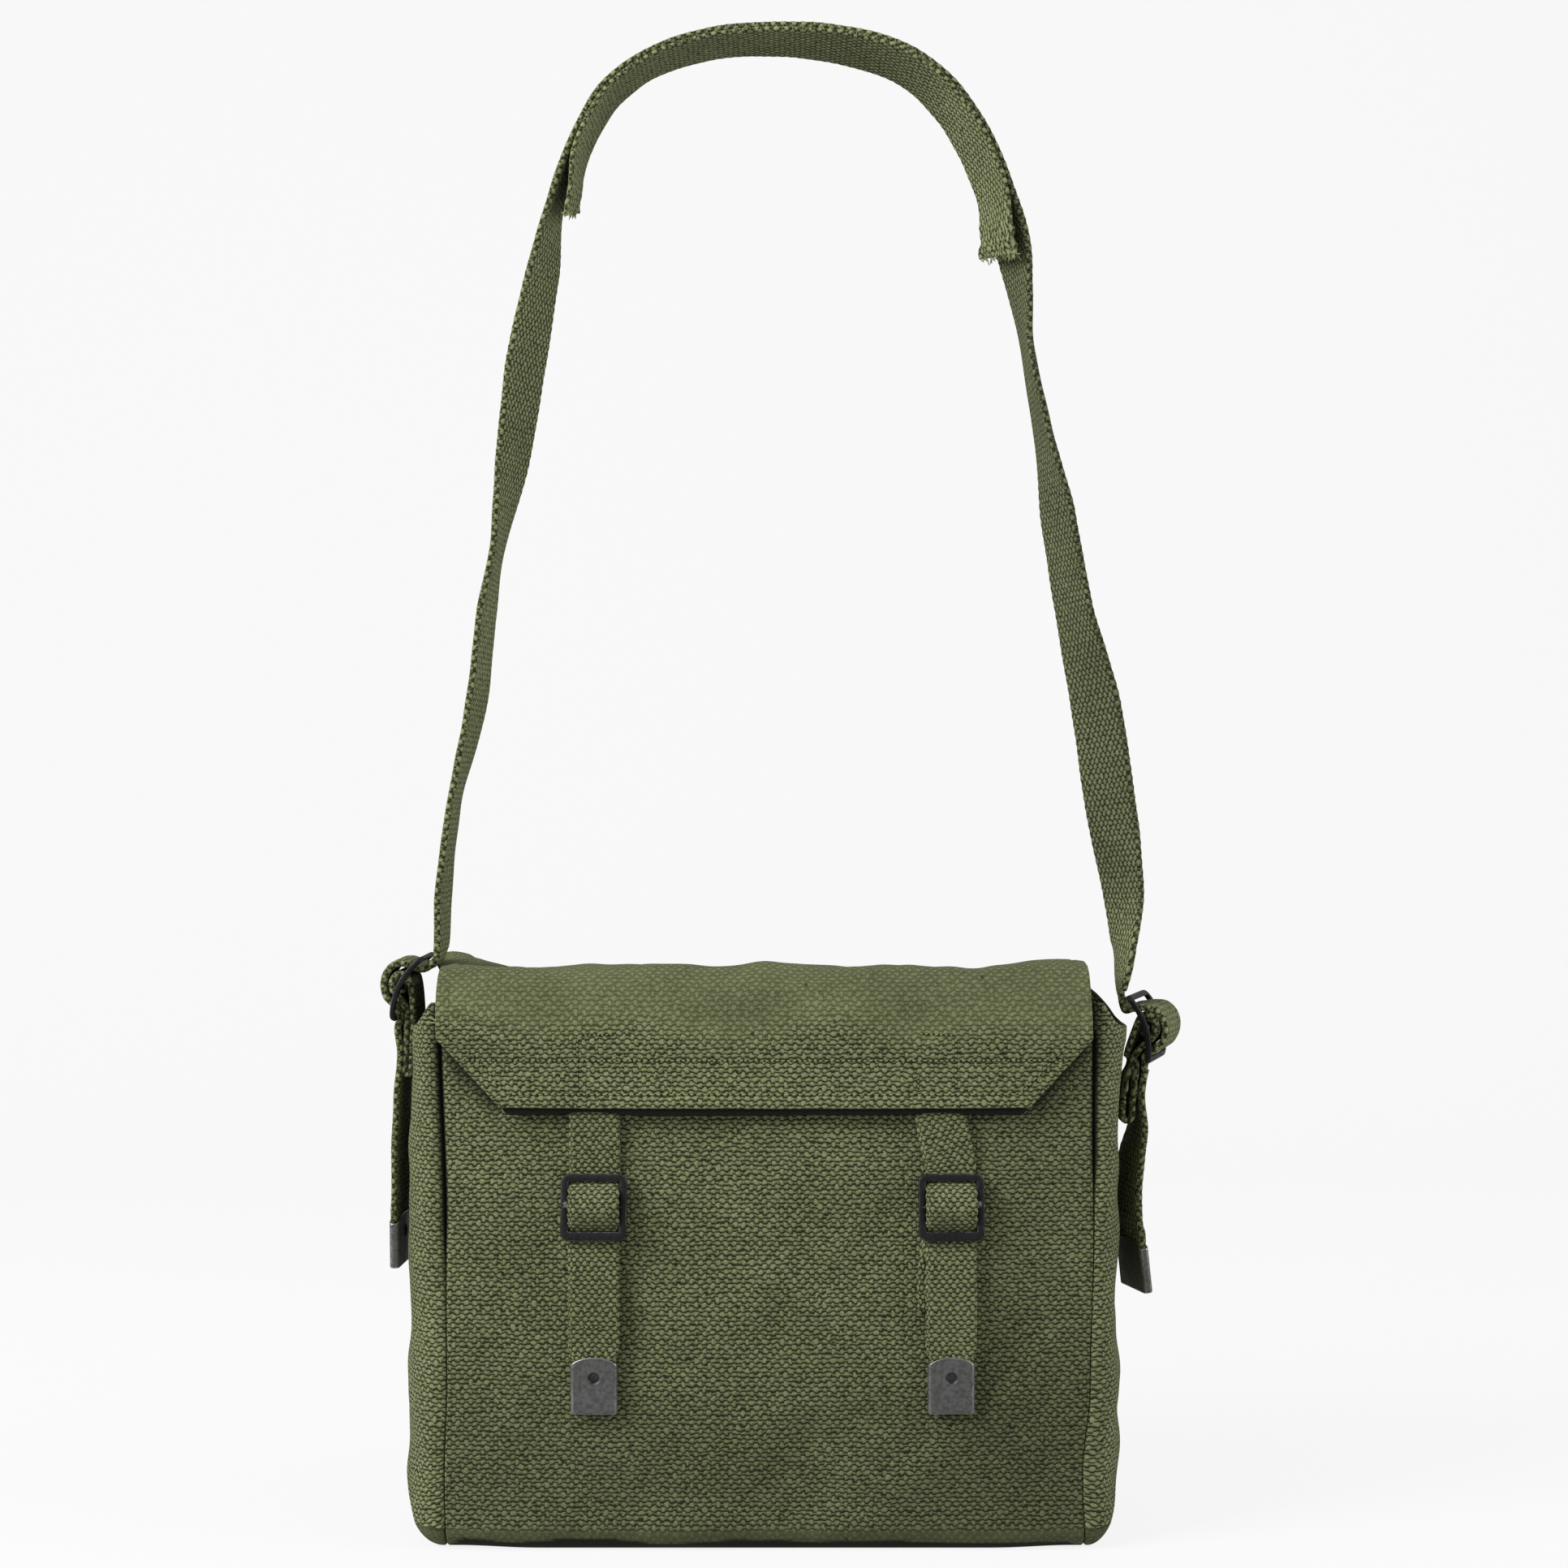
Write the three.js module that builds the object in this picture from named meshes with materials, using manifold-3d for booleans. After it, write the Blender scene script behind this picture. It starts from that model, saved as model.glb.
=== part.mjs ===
// A canvas haversack with a buckled flap and a shoulder strap, as it hangs by that strap.
// Lengths are in millimetres, +X is to the right as seen from the front, -Y is the front, +Z is up.
// The origin is on the underside of the strap's shoulder pad, at its highest point.
import * as THREE from "three";
import Module from "manifold-3d";
import { mergeVertices } from "three/addons/utils/BufferGeometryUtils.js";

const wasm = await Module();
wasm.setup();

// Cloth and fits
const canvasThickness = 2;
const clear = 0.35; // gap kept between pieces that touch
const seamGap = 0.4; // gap between the two lips of a seam
const seamRadius = 4; // how roundly cloth turns into a seam
const seamLip = 4; // cloth turned in past the seam
const cutPast = 1; // how far a cutting solid reaches past what it cuts

// Bag body
const bodyWidth = 320; // front panel, seam to seam
const bodyDepth = 110;
const frontHeight = 265; // top edge of the front
const backHeight = frontHeight; // top edge of the back
const gussetCorner = frontHeight + 4; // top edge of a gusset at its seams
const gussetRim = frontHeight - 10; // top edge of a gusset at its middle, which sags out
const underRadius = 11; // where front and back turn under
const frontSwell = 7; // how far the front bulges
const swellFull = 0.3; // share of the front's height where the bulge is full
const swellFades = 0.45; // share of the front's height from which it fades
const swellAtTop = 0.55; // what is left of it at the top
const swellFrom = 2; // height from which it starts
const swellFlatness = 3; // how flat it is across, as a power of the share of the half width
const foldFlatness = 6; // the same for the front's folds
const swells = { left: 20, right: 13.5 }; // how far the gussets bulge past their seams' ridges

// Flap
const bagHeight = frontHeight + 21; // top of the closed flap
const flapWidth = bodyWidth;
const flapCut = 30.5; // how far each cut corner takes its lower edge in
const flapEdgeWidth = flapWidth - 2 * flapCut;
const flapDrop = 66; // top of the flap down to its lower edge
const flapCornerDrop = 33; // top of the flap down to where the corners are cut
const flapSewnHeight = 30; // overlap on the back panel
const flapFrontRadius = 22;
const flapBackRadius = 17;
const flapStandOff = 2.2; // air between flap and front beyond the strap's own thickness
const flapClears = 0.75; // share of the front's swell that the flap stands clear of
const flapFollows = 1.5; // how far it comes in with the front at most
const flapSettles = 30; // length over which it does
const flapDroop = 1.3; // how far its sides droop on top
const flapDroopsFrom = 0.8; // share of its half width from which they do

// Closing straps on the front
const closingWidth = 25;
const closingThickness = 2.2;
const closingInside = 28; // length sewn under the flap
const closingTail = 101; // from the buckle's bar down to the tip's lower end
const chapeThickness = 1.6; // webbing that holds a front buckle
const chapeLength = 53; // from the buckle's bar down to its sewn end
const tipLength = 28;
const tipNarrowing = 2.4; // how much narrower a tip is than its strap
const tipPlate = 0.9; // metal thickness of a tip
const tipBite = 4; // length over which a strap narrows into its tip
const tipRounding = 0.3; // radius of its corners, as a share of its depth
const tipShoulder = 0.86; // share of its length where its arched top starts
const tipArch = 0.8; // how full the arch is
const dimpleRadius = 3.4;
const dimpleTaper = 0.55; // radius at its bottom, as a share
const dimpleDepth = 0.7; // share of the plate's thickness
const dimpleUp = 0.64; // share of the tip's length

// Front buckles
const buckleSize = 32.4; // square outside
const buckleBar = 3.2; // width of the frame
const buckleThickness = 2.4;
const buckleMiddleBar = 1.4; // radius
const buckleBelow = 50; // from the flap's lower edge down to the middle bar
const buckleRounding = 0.9; // radius of its corners, as a share of the frame's width
const barPlay = 2.6 * clear; // air between a bar and the strap behind it
const strapPlay = 1.6 * clear; // air between the front and the strap at the top bar
const middleRod = 10; // sides of the middle bar

// Shoulder strap
const strapWidth = 38;
const strapThickness = 2.6;
const strapRise = 476; // top of the bag up to the strap's crown
const strapHalfWidth = 160; // half the width of the strap's loop at the bag
const padWidth = 42;
const padThickness = 2.6;
const padFlare = 5; // how far the pad's ends stand off the strap
const padFlaresFrom = 0.8; // share of half its length from which they do
const strapTipLength = 26;

// Side buckles
const sideBuckleHeight = 35.6;
const sideBuckleBar = 3;
const sideBuckleThickness = 2.2;
const sideMiddleBar = 1.6; // radius
const sideChape = 2; // thickness of the webbing that holds a side buckle
const rollClearance = 3; // air between the strap's turn and the chape's
const rollRise = 1.28; // height of the strap's turn over its reach
const clothSlack = 0.75; // more air where webbing lies along a curved gusset
const strapAir = 4 * clear; // air between the side chape's layers and the strap
const loopEase = 1.15; // how much wider than the bar a side chape's turn is
const chapeLap = 9; // how far a side chape's end comes up again past its fold
const chapeBelowRim = 4; // how far below the gusset's rim a side chape may come to lie on it
const chapeReach = 1.8; // half heights of the buckle from its bar down to there
const strapPastBar = 1.06; // how far the strap passes the bottom bar, over what it needs

// Half widths of the body at its seams, by height, as shares of half the body's width
const seamTable = [
  { up: 0.0, left: 0.984, right: 0.986 },
  { up: 0.14, left: 0.988, right: 0.978 },
  { up: 0.3, left: 0.98, right: 1.002 },
  { up: 0.6, left: 0.984, right: 1.014 },
  { up: 1.0, left: 1.002, right: 1.014 },
];

// How much of its swell each gusset has, by height as a share of its rim's height
const swellTable = [
  { up: 0.0, left: 1.2, right: 1.4 },
  { up: 0.08, left: 1.06, right: 1.44 },
  { up: 0.16, left: 1.0, right: 1.46 },
  { up: 0.27, left: 1.08, right: 1.26 },
  { up: 0.46, left: 1.0, right: 1.02 },
  { up: 0.75, left: 1.0, right: 1.0 },
  { up: 1.0, left: 0.92, right: 1.25 },
];

// Soft folds of the front panel. Across is a share of half the width, up of the front's height,
// reach and breadth of the width, and rise of the front's swell. The fold runs at its slant in degrees.
const frontFolds = [
  { across: 0.62, up: 0.22, slant: 38, reach: 0.2, breadth: 0.035, rise: 0.3 },
  { across: 0.72, up: 0.34, slant: 44, reach: 0.16, breadth: 0.03, rise: -0.28 },
  { across: -0.86, up: 0.3, slant: 78, reach: 0.17, breadth: 0.022, rise: -0.22 },
  { across: -0.68, up: 0.1, slant: -30, reach: 0.11, breadth: 0.03, rise: 0.26 },
  { across: 0.0, up: 0.1, slant: 0, reach: 0.4, breadth: 0.04, rise: -0.2 },
];

// Dents of the gussets. Up is a share of the gusset's height, forward of half the depth,
// wide and tall of the depth, and deep of the gusset's swell.
const gussetDents = [
  { side: 1, up: 0.25, forward: 0.1, wide: 0.3, tall: 0.1, deep: 0.22 },
  { side: 1, up: 0.55, forward: -0.3, wide: 0.3, tall: 0.3, deep: 0.1 },
  { side: 1, up: 0.88, forward: 0, wide: 0.34, tall: 0.3, deep: 0.16 },
  { side: -1, up: 0.4, forward: 0, wide: 0.3, tall: 0.2, deep: 0.1 },
  { side: -1, up: 0.97, forward: 0, wide: 0.45, tall: 0.34, deep: 0.3 },
];

// Humps and hollows of the flap's top. Across is a share of half its width, back of half the depth,
// and rise of the canvas's thickness.
const flapWaves = [
  { across: -0.92, back: 0.7, breadth: 0.14, length: 0.6, rise: 3.4 },
  { across: -0.74, back: -0.4, breadth: 0.1, length: 0.6, rise: -1.2 },
  { across: -0.56, back: 0.0, breadth: 0.08, length: 0.8, rise: 0.8 },
  { across: 0.05, back: 0.9, breadth: 0.75, length: 0.8, rise: -2.2 },
  { across: 0.62, back: 0.0, breadth: 0.12, length: 0.9, rise: -1.0 },
  { across: 0.9, back: 0.2, breadth: 0.12, length: 0.9, rise: 2.2 },
];

// Columns of points across the front and the flap, as shares of half their width
const frontColumns = [-0.93, -0.82, -0.68, -0.5, -0.26, 0, 0.26, 0.5, 0.64, 0.76, 0.87, 0.95];
const flapColumns = [-1, -0.93, -0.84, -0.73, -0.62, -0.5, -0.35, -0.15, 0.1, 0.3, 0.46, 0.6, 0.72, 0.82, 0.9, 0.96, 1];

// The two closing straps. Both places are across, as shares of half the body's width.
const closings = [
  { name: "left", atFlap: -0.522, atBuckle: -0.522 },
  { name: "right", atFlap: 0.534, atBuckle: 0.577 },
];

// How a closing strap goes through its buckle. Up is from the middle bar as a share of the step to the
// next bar, and over the share of the way out from that bar to over the middle one.
const throughBuckle = [
  { up: 1.3, over: 0.01 },
  { up: 1, over: 0 },
  { up: 0.74, over: 0.26 },
  { up: 0.4, over: 0.78 },
  { up: 0, over: 1 },
  { up: -0.42, over: 0.68 },
  { up: -0.76, over: 0.12 },
  { up: -1, over: 0 },
  { up: -1.5, over: 0 },
];
const chapeTurns = [165, 130, 95, 60, 20, -15]; // degrees round the middle bar, of a front chape
const chapeOuterEnd = 3; // how much higher its outer layer ends

// The two side buckles. Out is past half the body's width and up above the top of the bag, as shares
// of the buckle's height. Turn swings the buckle's far end outwards and tilt leans its top inwards,
// in degrees. Bow and bend are shares of the buckle's height: how far the frame is bowed, and how far
// in of the top bar the strap comes down. Fold is the height of the chape's lower fold as a share of
// the bag's height, and open the air inside that fold as a share of the chape's thickness.
const sides = [
  { name: "left", side: -1, out: 0.702, up: -0.281, turn: 0, tilt: 26, bow: 0.13, bend: 0.2, fold: 0.802, open: 0.3 },
  { name: "right", side: 1, out: 1.011, up: -0.843, turn: 14, tilt: 17, bow: 0.1, bend: 0.14, fold: 0.708, open: 1.3 },
];

// How the shoulder strap goes over a side buckle's top bar: away from the bar and up from it as shares
// of the buckle's height. The first is where it comes down, in of the bar by the row's bend.
const overTopBar = [
  { bend: -1, away: 0, up: 0.13 },
  { bend: -0.7, away: 0, up: -0.04 },
  { bend: 0, away: -0.01, up: -0.125 },
  { bend: 0, away: 0.12, up: -0.1 },
];
const strapTurns = [98, 66, 32, 0, -34, -66]; // degrees round a side buckle's middle bar
const sideTurns = [165, 126, 87, 48, 9, -30]; // the same for the side chape
// Behind the bottom bar: down the frame by its half height, and off by the strap's place behind it
const underBottomBar = [
  { down: 0.84, off: 0.66 },
  { down: 1, off: strapPastBar },
  { down: 1.2, off: 1.15 },
];

// The strap's free ends below their buckles. Off is the air between strap and gusset as a share of
// the strap's thickness, up a share of the bag's height, and turn brings the far edge in, in degrees.
const tails = {
  left: [
    { off: 2.5, up: 0.832, turn: 0 },
    { off: 1.9, up: 0.753, turn: 2 },
    { off: 1.3, up: 0.654, turn: 4 },
    { off: 1.5, up: 0.575, turn: 3 },
  ],
  right: [
    { off: 4.1, up: 0.772, turn: -3 },
    { off: 4.1, up: 0.708, turn: 4 },
    { off: 2.6, up: 0.649, turn: 9 },
    { off: 1.9, up: 0.545, turn: 12 },
  ],
};
const tailEnd = { left: { off: 1.6, up: 0.462, turn: 3 }, right: { off: 3.9, up: 0.416, turn: 13 } };

// The shoulder strap between its buckles, from the left one over the crown to the right one. Across
// is a share of the spread, up of the strap's rise, and turn brings its far edge inwards, in degrees.
const strapTable = [
  { across: -1.036, up: 0.068, turn: 2 },
  { across: -1.0, up: 0.172, turn: 0 },
  { across: -0.93, up: 0.277, turn: 6 },
  { across: -0.894, up: 0.382, turn: 5 },
  { across: -0.869, up: 0.434, turn: 0 },
  { across: -0.814, up: 0.54, turn: 17 },
  { across: -0.77, up: 0.645, turn: 23 },
  { across: -0.711, up: 0.75, turn: 16 },
  { across: -0.672, up: 0.822, turn: 3 },
  { across: -0.617, up: 0.874, turn: 3 },
  { across: -0.513, up: 0.937, turn: 2 },
  { across: -0.375, up: 0.973, turn: 0 },
  { across: -0.19, up: 0.994, turn: 1 },
  { across: 0.0, up: 1.0, turn: 2 },
  { across: 0.17, up: 0.997, turn: 5 },
  { across: 0.31, up: 0.989, turn: 7 },
  { across: 0.465, up: 0.969, turn: 9 },
  { across: 0.588, up: 0.933, turn: 12 },
  { across: 0.685, up: 0.882, turn: 14 },
  { across: 0.75, up: 0.828, turn: 15 },
  { across: 0.793, up: 0.775, turn: 19 },
  { across: 0.819, up: 0.723, turn: 10 },
  { across: 0.842, up: 0.658, turn: 0 },
  { across: 0.894, up: 0.565, turn: 5 },
  { across: 0.935, up: 0.487, turn: 18 },
  { across: 0.989, up: 0.382, turn: 21 },
  { across: 1.059, up: 0.277, turn: 33 },
  { across: 1.105, up: 0.172, turn: 34 },
  { across: 1.149, up: 0.068, turn: 22 },
  { across: 1.147, up: 0.014, turn: 8 },
];
const padFrom = 8; // rows of the strap's table where the shoulder pad starts and ends
const padTo = 20;

const buckleHeight = bagHeight - flapDrop - buckleBelow; // height of the front buckles' middle bars
const closingEnd = buckleHeight - closingTail;
const halfDepth = bodyDepth / 2;
const halfWidth = bodyWidth / 2;
const hangHeight = bagHeight + strapRise - strapThickness / 2 - clear - padThickness;
const degrees = Math.PI / 180;

const olive = new THREE.MeshStandardMaterial({ color: 0x5b6142, roughness: 0.95, metalness: 0 });
const webbing = new THREE.MeshStandardMaterial({ color: 0x5f6546, roughness: 0.95, metalness: 0 });
const blackened = new THREE.MeshStandardMaterial({ color: 0x2c2c2e, roughness: 0.45, metalness: 0.6 });
const steel = new THREE.MeshStandardMaterial({ color: 0x58585a, roughness: 0.4, metalness: 0.85 });

// Number helpers
const mix = (a, b, share) => a + (b - a) * share;
const limit = (value, low, high) => Math.min(high, Math.max(low, value));
const smooth = (x) => x * x * (3 - 2 * x);
const steps = (count) => Array.from({ length: count + 1 }, (_, i) => i / count);
const bell = (x) => Math.exp(-x * x);

// Value of one column of a table at a height, eased between its rows.
function readTable(table, column, up) {
  const last = table.length - 1;
  const at = limit(up, table[0].up, table[last].up);
  const i = Math.min(last - 1, table.findLastIndex((row) => row.up <= at));
  const share = (at - table[i].up) / (table[i + 1].up - table[i].up);
  return mix(table[i][column], table[i + 1][column], smooth(share));
}

// Half width of the body at a height, on the side that has that sign.
function seamAt(side, z) {
  return halfWidth * readTable(seamTable, side < 0 ? "left" : "right", z / frontHeight);
}

// Geometry from points and faces, with points that coincide merged and faces that vanish left out.
function closedGeometry(points, faces) {
  const loose = new THREE.BufferGeometry().setFromPoints(points);
  loose.setIndex(faces.flat());
  const merged = mergeVertices(loose, 1e-3);
  const index = Array.from(merged.index.array);
  const kept = [];
  for (let i = 0; i < index.length; i += 3) {
    const [a, b, c] = index.slice(i, i + 3);
    if (a !== b && b !== c && c !== a) kept.push(a, b, c);
  }
  merged.setIndex(kept);
  if (signedVolume(merged) < 0) {
    for (let i = 0; i < kept.length; i += 3) [kept[i + 1], kept[i + 2]] = [kept[i + 2], kept[i + 1]];
    merged.setIndex(kept);
  }
  return merged;
}

function signedVolume(geometry) {
  const place = geometry.getAttribute("position");
  const corner = [new THREE.Vector3(), new THREE.Vector3(), new THREE.Vector3()];
  let sum = 0;
  for (let i = 0; i < geometry.index.count; i += 3) {
    corner.forEach((v, k) => v.fromBufferAttribute(place, geometry.index.array[i + k]));
    sum += corner[0].dot(corner[1].clone().cross(corner[2])) / 6;
  }
  return sum;
}

// A wall of cloth: rows of outer points, each with the direction that faces out there.
function clothWall(rows, thickness) {
  const across = rows[0].length;
  const outer = rows.flat().map(({ point }) => point);
  const inner = rows.flat().map(({ point, facing }) => point.clone().addScaledVector(facing, -thickness));
  const count = outer.length;
  const faces = [];
  const quad = (a, b, c, d) => faces.push([a, b, c], [a, c, d]);
  for (let i = 0; i + 1 < rows.length; i++) {
    for (let j = 0; j + 1 < across; j++) {
      const a = i * across + j;
      quad(a, a + 1, a + across + 1, a + across);
      quad(count + a, count + a + across, count + a + across + 1, count + a + 1);
    }
  }
  const rim = [];
  for (let j = 0; j < across; j++) rim.push(j);
  for (let i = 1; i < rows.length; i++) rim.push(i * across + across - 1);
  for (let j = across - 2; j >= 0; j--) rim.push((rows.length - 1) * across + j);
  for (let i = rows.length - 2; i > 0; i--) rim.push(i * across);
  // Where the rim runs back along itself the cloth is joined, and has no edge.
  const next = (k) => rim[(k + 1) % rim.length];
  const at = (a) => outer[a].toArray().map((n) => Math.round(n * 1e3)).join();
  const edges = new Set(rim.map((a, k) => at(a) + " " + at(next(k))));
  rim.forEach((a, k) => {
    const b = next(k);
    if (!edges.has(at(b) + " " + at(a))) quad(b, a, count + a, count + b);
  });
  return closedGeometry([...outer, ...inner], faces);
}

// The directions of a band's width and face at one of its sections.
function sectionFrame(sections, i) {
  const before = sections[Math.max(0, i - 1)].middle;
  const after = sections[Math.min(sections.length - 1, i + 1)].middle;
  const side = sections[i].across;
  return { side, face: after.clone().sub(before).cross(side).normalize() };
}

// A band along sections, each with its middle, the direction of its width and its width.
// Both faces are split alike, so a twisted band keeps its thickness.
function band(sections, thickness, columns = 1) {
  const across = steps(columns).map((t) => 2 * t - 1);
  const ring = [...across.map((s) => [s, -1]), ...across.map((s) => [s, 1])];
  const points = [];
  sections.forEach(({ middle, width }, i) => {
    const { side, face } = sectionFrame(sections, i);
    for (const [s, f] of ring) {
      points.push(
        middle.clone().addScaledVector(side, (s * width) / 2).addScaledVector(face, (f * thickness) / 2),
      );
    }
  });
  const faces = [];
  const quad = (a, b, c, d) => faces.push([a, b, c], [a, c, d]);
  const size = ring.length;
  const top = columns + 1;
  for (let i = 0; i + 1 < sections.length; i++) {
    const at = i * size;
    for (let j = 0; j < columns; j++) {
      quad(at + j, at + j + 1, at + size + j + 1, at + size + j);
      quad(at + size + top + j + 1, at + top + j + 1, at + top + j, at + size + top + j);
    }
    quad(at + top, at, at + size, at + size + top);
    quad(at + columns, at + top + columns, at + size + top + columns, at + size + columns);
  }
  for (let j = 0; j < columns; j++) {
    const end = (sections.length - 1) * size;
    quad(j + 1, j, top + j, top + j + 1);
    quad(end + j, end + j + 1, end + top + j + 1, end + top + j);
  }
  return closedGeometry(points, faces);
}

// Sections between control sections, on a smooth curve through them.
function smoothSections(controls, perSpan) {
  const route = new THREE.CatmullRomCurve3(controls.map((c) => c.middle), false, "centripetal");
  const widths = new THREE.CatmullRomCurve3(controls.map((c) => c.across), false, "centripetal");
  const spans = controls.length - 1;
  return steps(spans * perSpan).map((t) => {
    const at = Math.min(spans - 1, Math.floor(t * spans));
    return {
      middle: route.getPoint(t),
      across: widths.getPoint(t).normalize(),
      width: mix(controls[at].width, controls[at + 1].width, t * spans - at),
    };
  });
}

// Solids for joins and cuts
function solidOf(geometry) {
  const bare = geometry.clone();
  bare.deleteAttribute("normal");
  bare.deleteAttribute("uv");
  const merged = mergeVertices(bare, 1e-4);
  return new wasm.Manifold(
    new wasm.Mesh({
      numProp: 3,
      vertProperties: new Float32Array(merged.getAttribute("position").array),
      triVerts: new Uint32Array(merged.index.array),
    }),
  );
}

function geometryOf(solid) {
  const mesh = solid.getMesh();
  const geometry = new THREE.BufferGeometry();
  geometry.setAttribute("position", new THREE.BufferAttribute(mesh.vertProperties, 3));
  geometry.setIndex(new THREE.BufferAttribute(mesh.triVerts, 1));
  return geometry;
}

function block(x, y, z, place = [0, 0, 0]) {
  return solidOf(new THREE.BoxGeometry(x, y, z).translate(...place));
}

function named(name, geometry, material) {
  const mesh = new THREE.Mesh(geometry, material);
  mesh.name = name;
  return mesh;
}

// How far a soft fold lifts a point, for a fold given in lengths.
function foldLift(fold, x, z) {
  const angle = fold.slant * degrees;
  const dx = x - fold.across * halfWidth;
  const dz = z - fold.up * frontHeight;
  const along = (dx * Math.cos(angle) + dz * Math.sin(angle)) / (fold.reach * bodyWidth);
  const over = (-dx * Math.sin(angle) + dz * Math.cos(angle)) / (fold.breadth * bodyWidth);
  return fold.rise * frontSwell * bell(along) * bell(over);
}

// How far the front bulges at a place.
function frontBulge(x, z) {
  const share = limit(Math.abs(x) / seamAt(x, z), 0, 1);
  const height = limit(z / frontHeight, 0, 1);
  const fade = limit((height - swellFades) / (1 - swellFades), 0, 1);
  const byHeight = Math.min(1, Math.sqrt(height / swellFull)) * mix(1, swellAtTop, fade);
  const edge = 1 - share ** foldFlatness;
  const folds = frontFolds.reduce((sum, fold) => sum + foldLift(fold, x, z), 0);
  const bulge = frontSwell * (1 - share ** swellFlatness) * byHeight + folds * edge;
  return bulge * limit((z - swellFrom) / underRadius, 0, 1);
}

const frontAt = (x, z) => -halfDepth - frontBulge(x, z);

// The path of the front, bottom and back seen from the side: places, and the way each faces.
// It is drawn in by inset, and starts and ends at the two heights.
const wallSteps = 7;
function bodyPath(inset, frontTop, backTop) {
  const turn = Math.max(underRadius, inset);
  const radius = Math.max(underRadius - inset, 0);
  const path = [];
  for (const t of steps(wallSteps)) {
    path.push({ y: -halfDepth + inset, z: mix(frontTop, turn, t), facing: [-1, 0] });
  }
  for (const t of steps(4).slice(1)) {
    const angle = (t * Math.PI) / 2;
    const facing = [-Math.cos(angle), -Math.sin(angle)];
    path.push({ y: -halfDepth + turn + facing[0] * radius, z: turn + facing[1] * radius, facing });
  }
  for (const t of steps(3).slice(1, -1)) {
    path.push({ y: mix(-halfDepth + turn, halfDepth - turn, t), z: inset, facing: [0, -1] });
  }
  for (const t of steps(4)) {
    const angle = ((1 - t) * Math.PI) / 2;
    const facing = [Math.cos(angle), -Math.sin(angle)];
    path.push({ y: halfDepth - turn + facing[0] * radius, z: turn + facing[1] * radius, facing });
  }
  for (const t of steps(wallSteps).slice(1)) {
    path.push({ y: halfDepth - inset, z: mix(turn, backTop, t), facing: [1, 0] });
  }
  return path;
}

// Front, bottom and back are one strip of canvas, with both edges turned in at the seams.
function makeMainPanel() {
  const arc = steps(3).map((t) => (t * Math.PI) / 2);
  const lip = { in: 0, down: seamRadius + seamLip, sideways: 1 };
  const edge = [
    lip,
    ...arc.map((angle) => ({
      in: seamRadius * (1 - Math.cos(angle)),
      down: seamRadius * (1 - Math.sin(angle)),
      sideways: Math.cos(angle),
    })),
  ];
  const rows = bodyPath(0, frontHeight, backHeight).map(({ y, z, facing }) => {
    const outwards = new THREE.Vector3(0, ...facing);
    const place = (x, down, sideways) => {
      const bulge = facing[0] < 0 ? -facing[0] * frontBulge(x, z) : 0;
      const fade = 1 - down / (seamRadius + seamLip);
      const point = new THREE.Vector3(x, y, z).addScaledVector(outwards, bulge * fade - down);
      const facingOut = outwards.clone().multiplyScalar(Math.sqrt(1 - sideways ** 2));
      return { point, facing: facingOut.addScaledVector(new THREE.Vector3(Math.sign(x), 0, 0), sideways) };
    };
    const left = edge.map((e) => place(-seamAt(-1, z) + e.in, e.down, e.sideways));
    const right = edge.map((e) => place(seamAt(1, z) - e.in, e.down, e.sideways)).reverse();
    const between = frontColumns.map((t) => place(t * (seamAt(t, z) - seamRadius), 0, 0));
    return [...left, ...between, ...right];
  });
  return named("main_panel", clothWall(rows, canvasThickness), olive);
}

// How far dents push a gusset in.
function gussetDent(side, y, z) {
  return gussetDents
    .filter((dent) => dent.side === side)
    .reduce((sum, dent) => {
      const dy = (y + dent.forward * halfDepth) / (dent.wide * bodyDepth);
      const dz = (z - dent.up * gussetRim) / (dent.tall * bodyDepth);
      return sum + dent.deep * swellOf(side) * bell(dy) * bell(dz);
    }, 0);
}

// Outer face of a gusset at its middle, at a height: its distance from the bag's middle plane.
function gussetFace(side, z) {
  const rise = limit(z / halfDepth, 0, 1);
  const swell = swellOf(side) * Math.sqrt(1 - (1 - rise) ** 2) * swellShare(side, z);
  return seamAt(side, z) + seamGap + seamRadius + swell - gussetDent(side, 0, z);
}

const swellOf = (side) => (side < 0 ? swells.left : swells.right);
const swellShare = (side, z) => readTable(swellTable, side < 0 ? "left" : "right", z / gussetRim);

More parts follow.
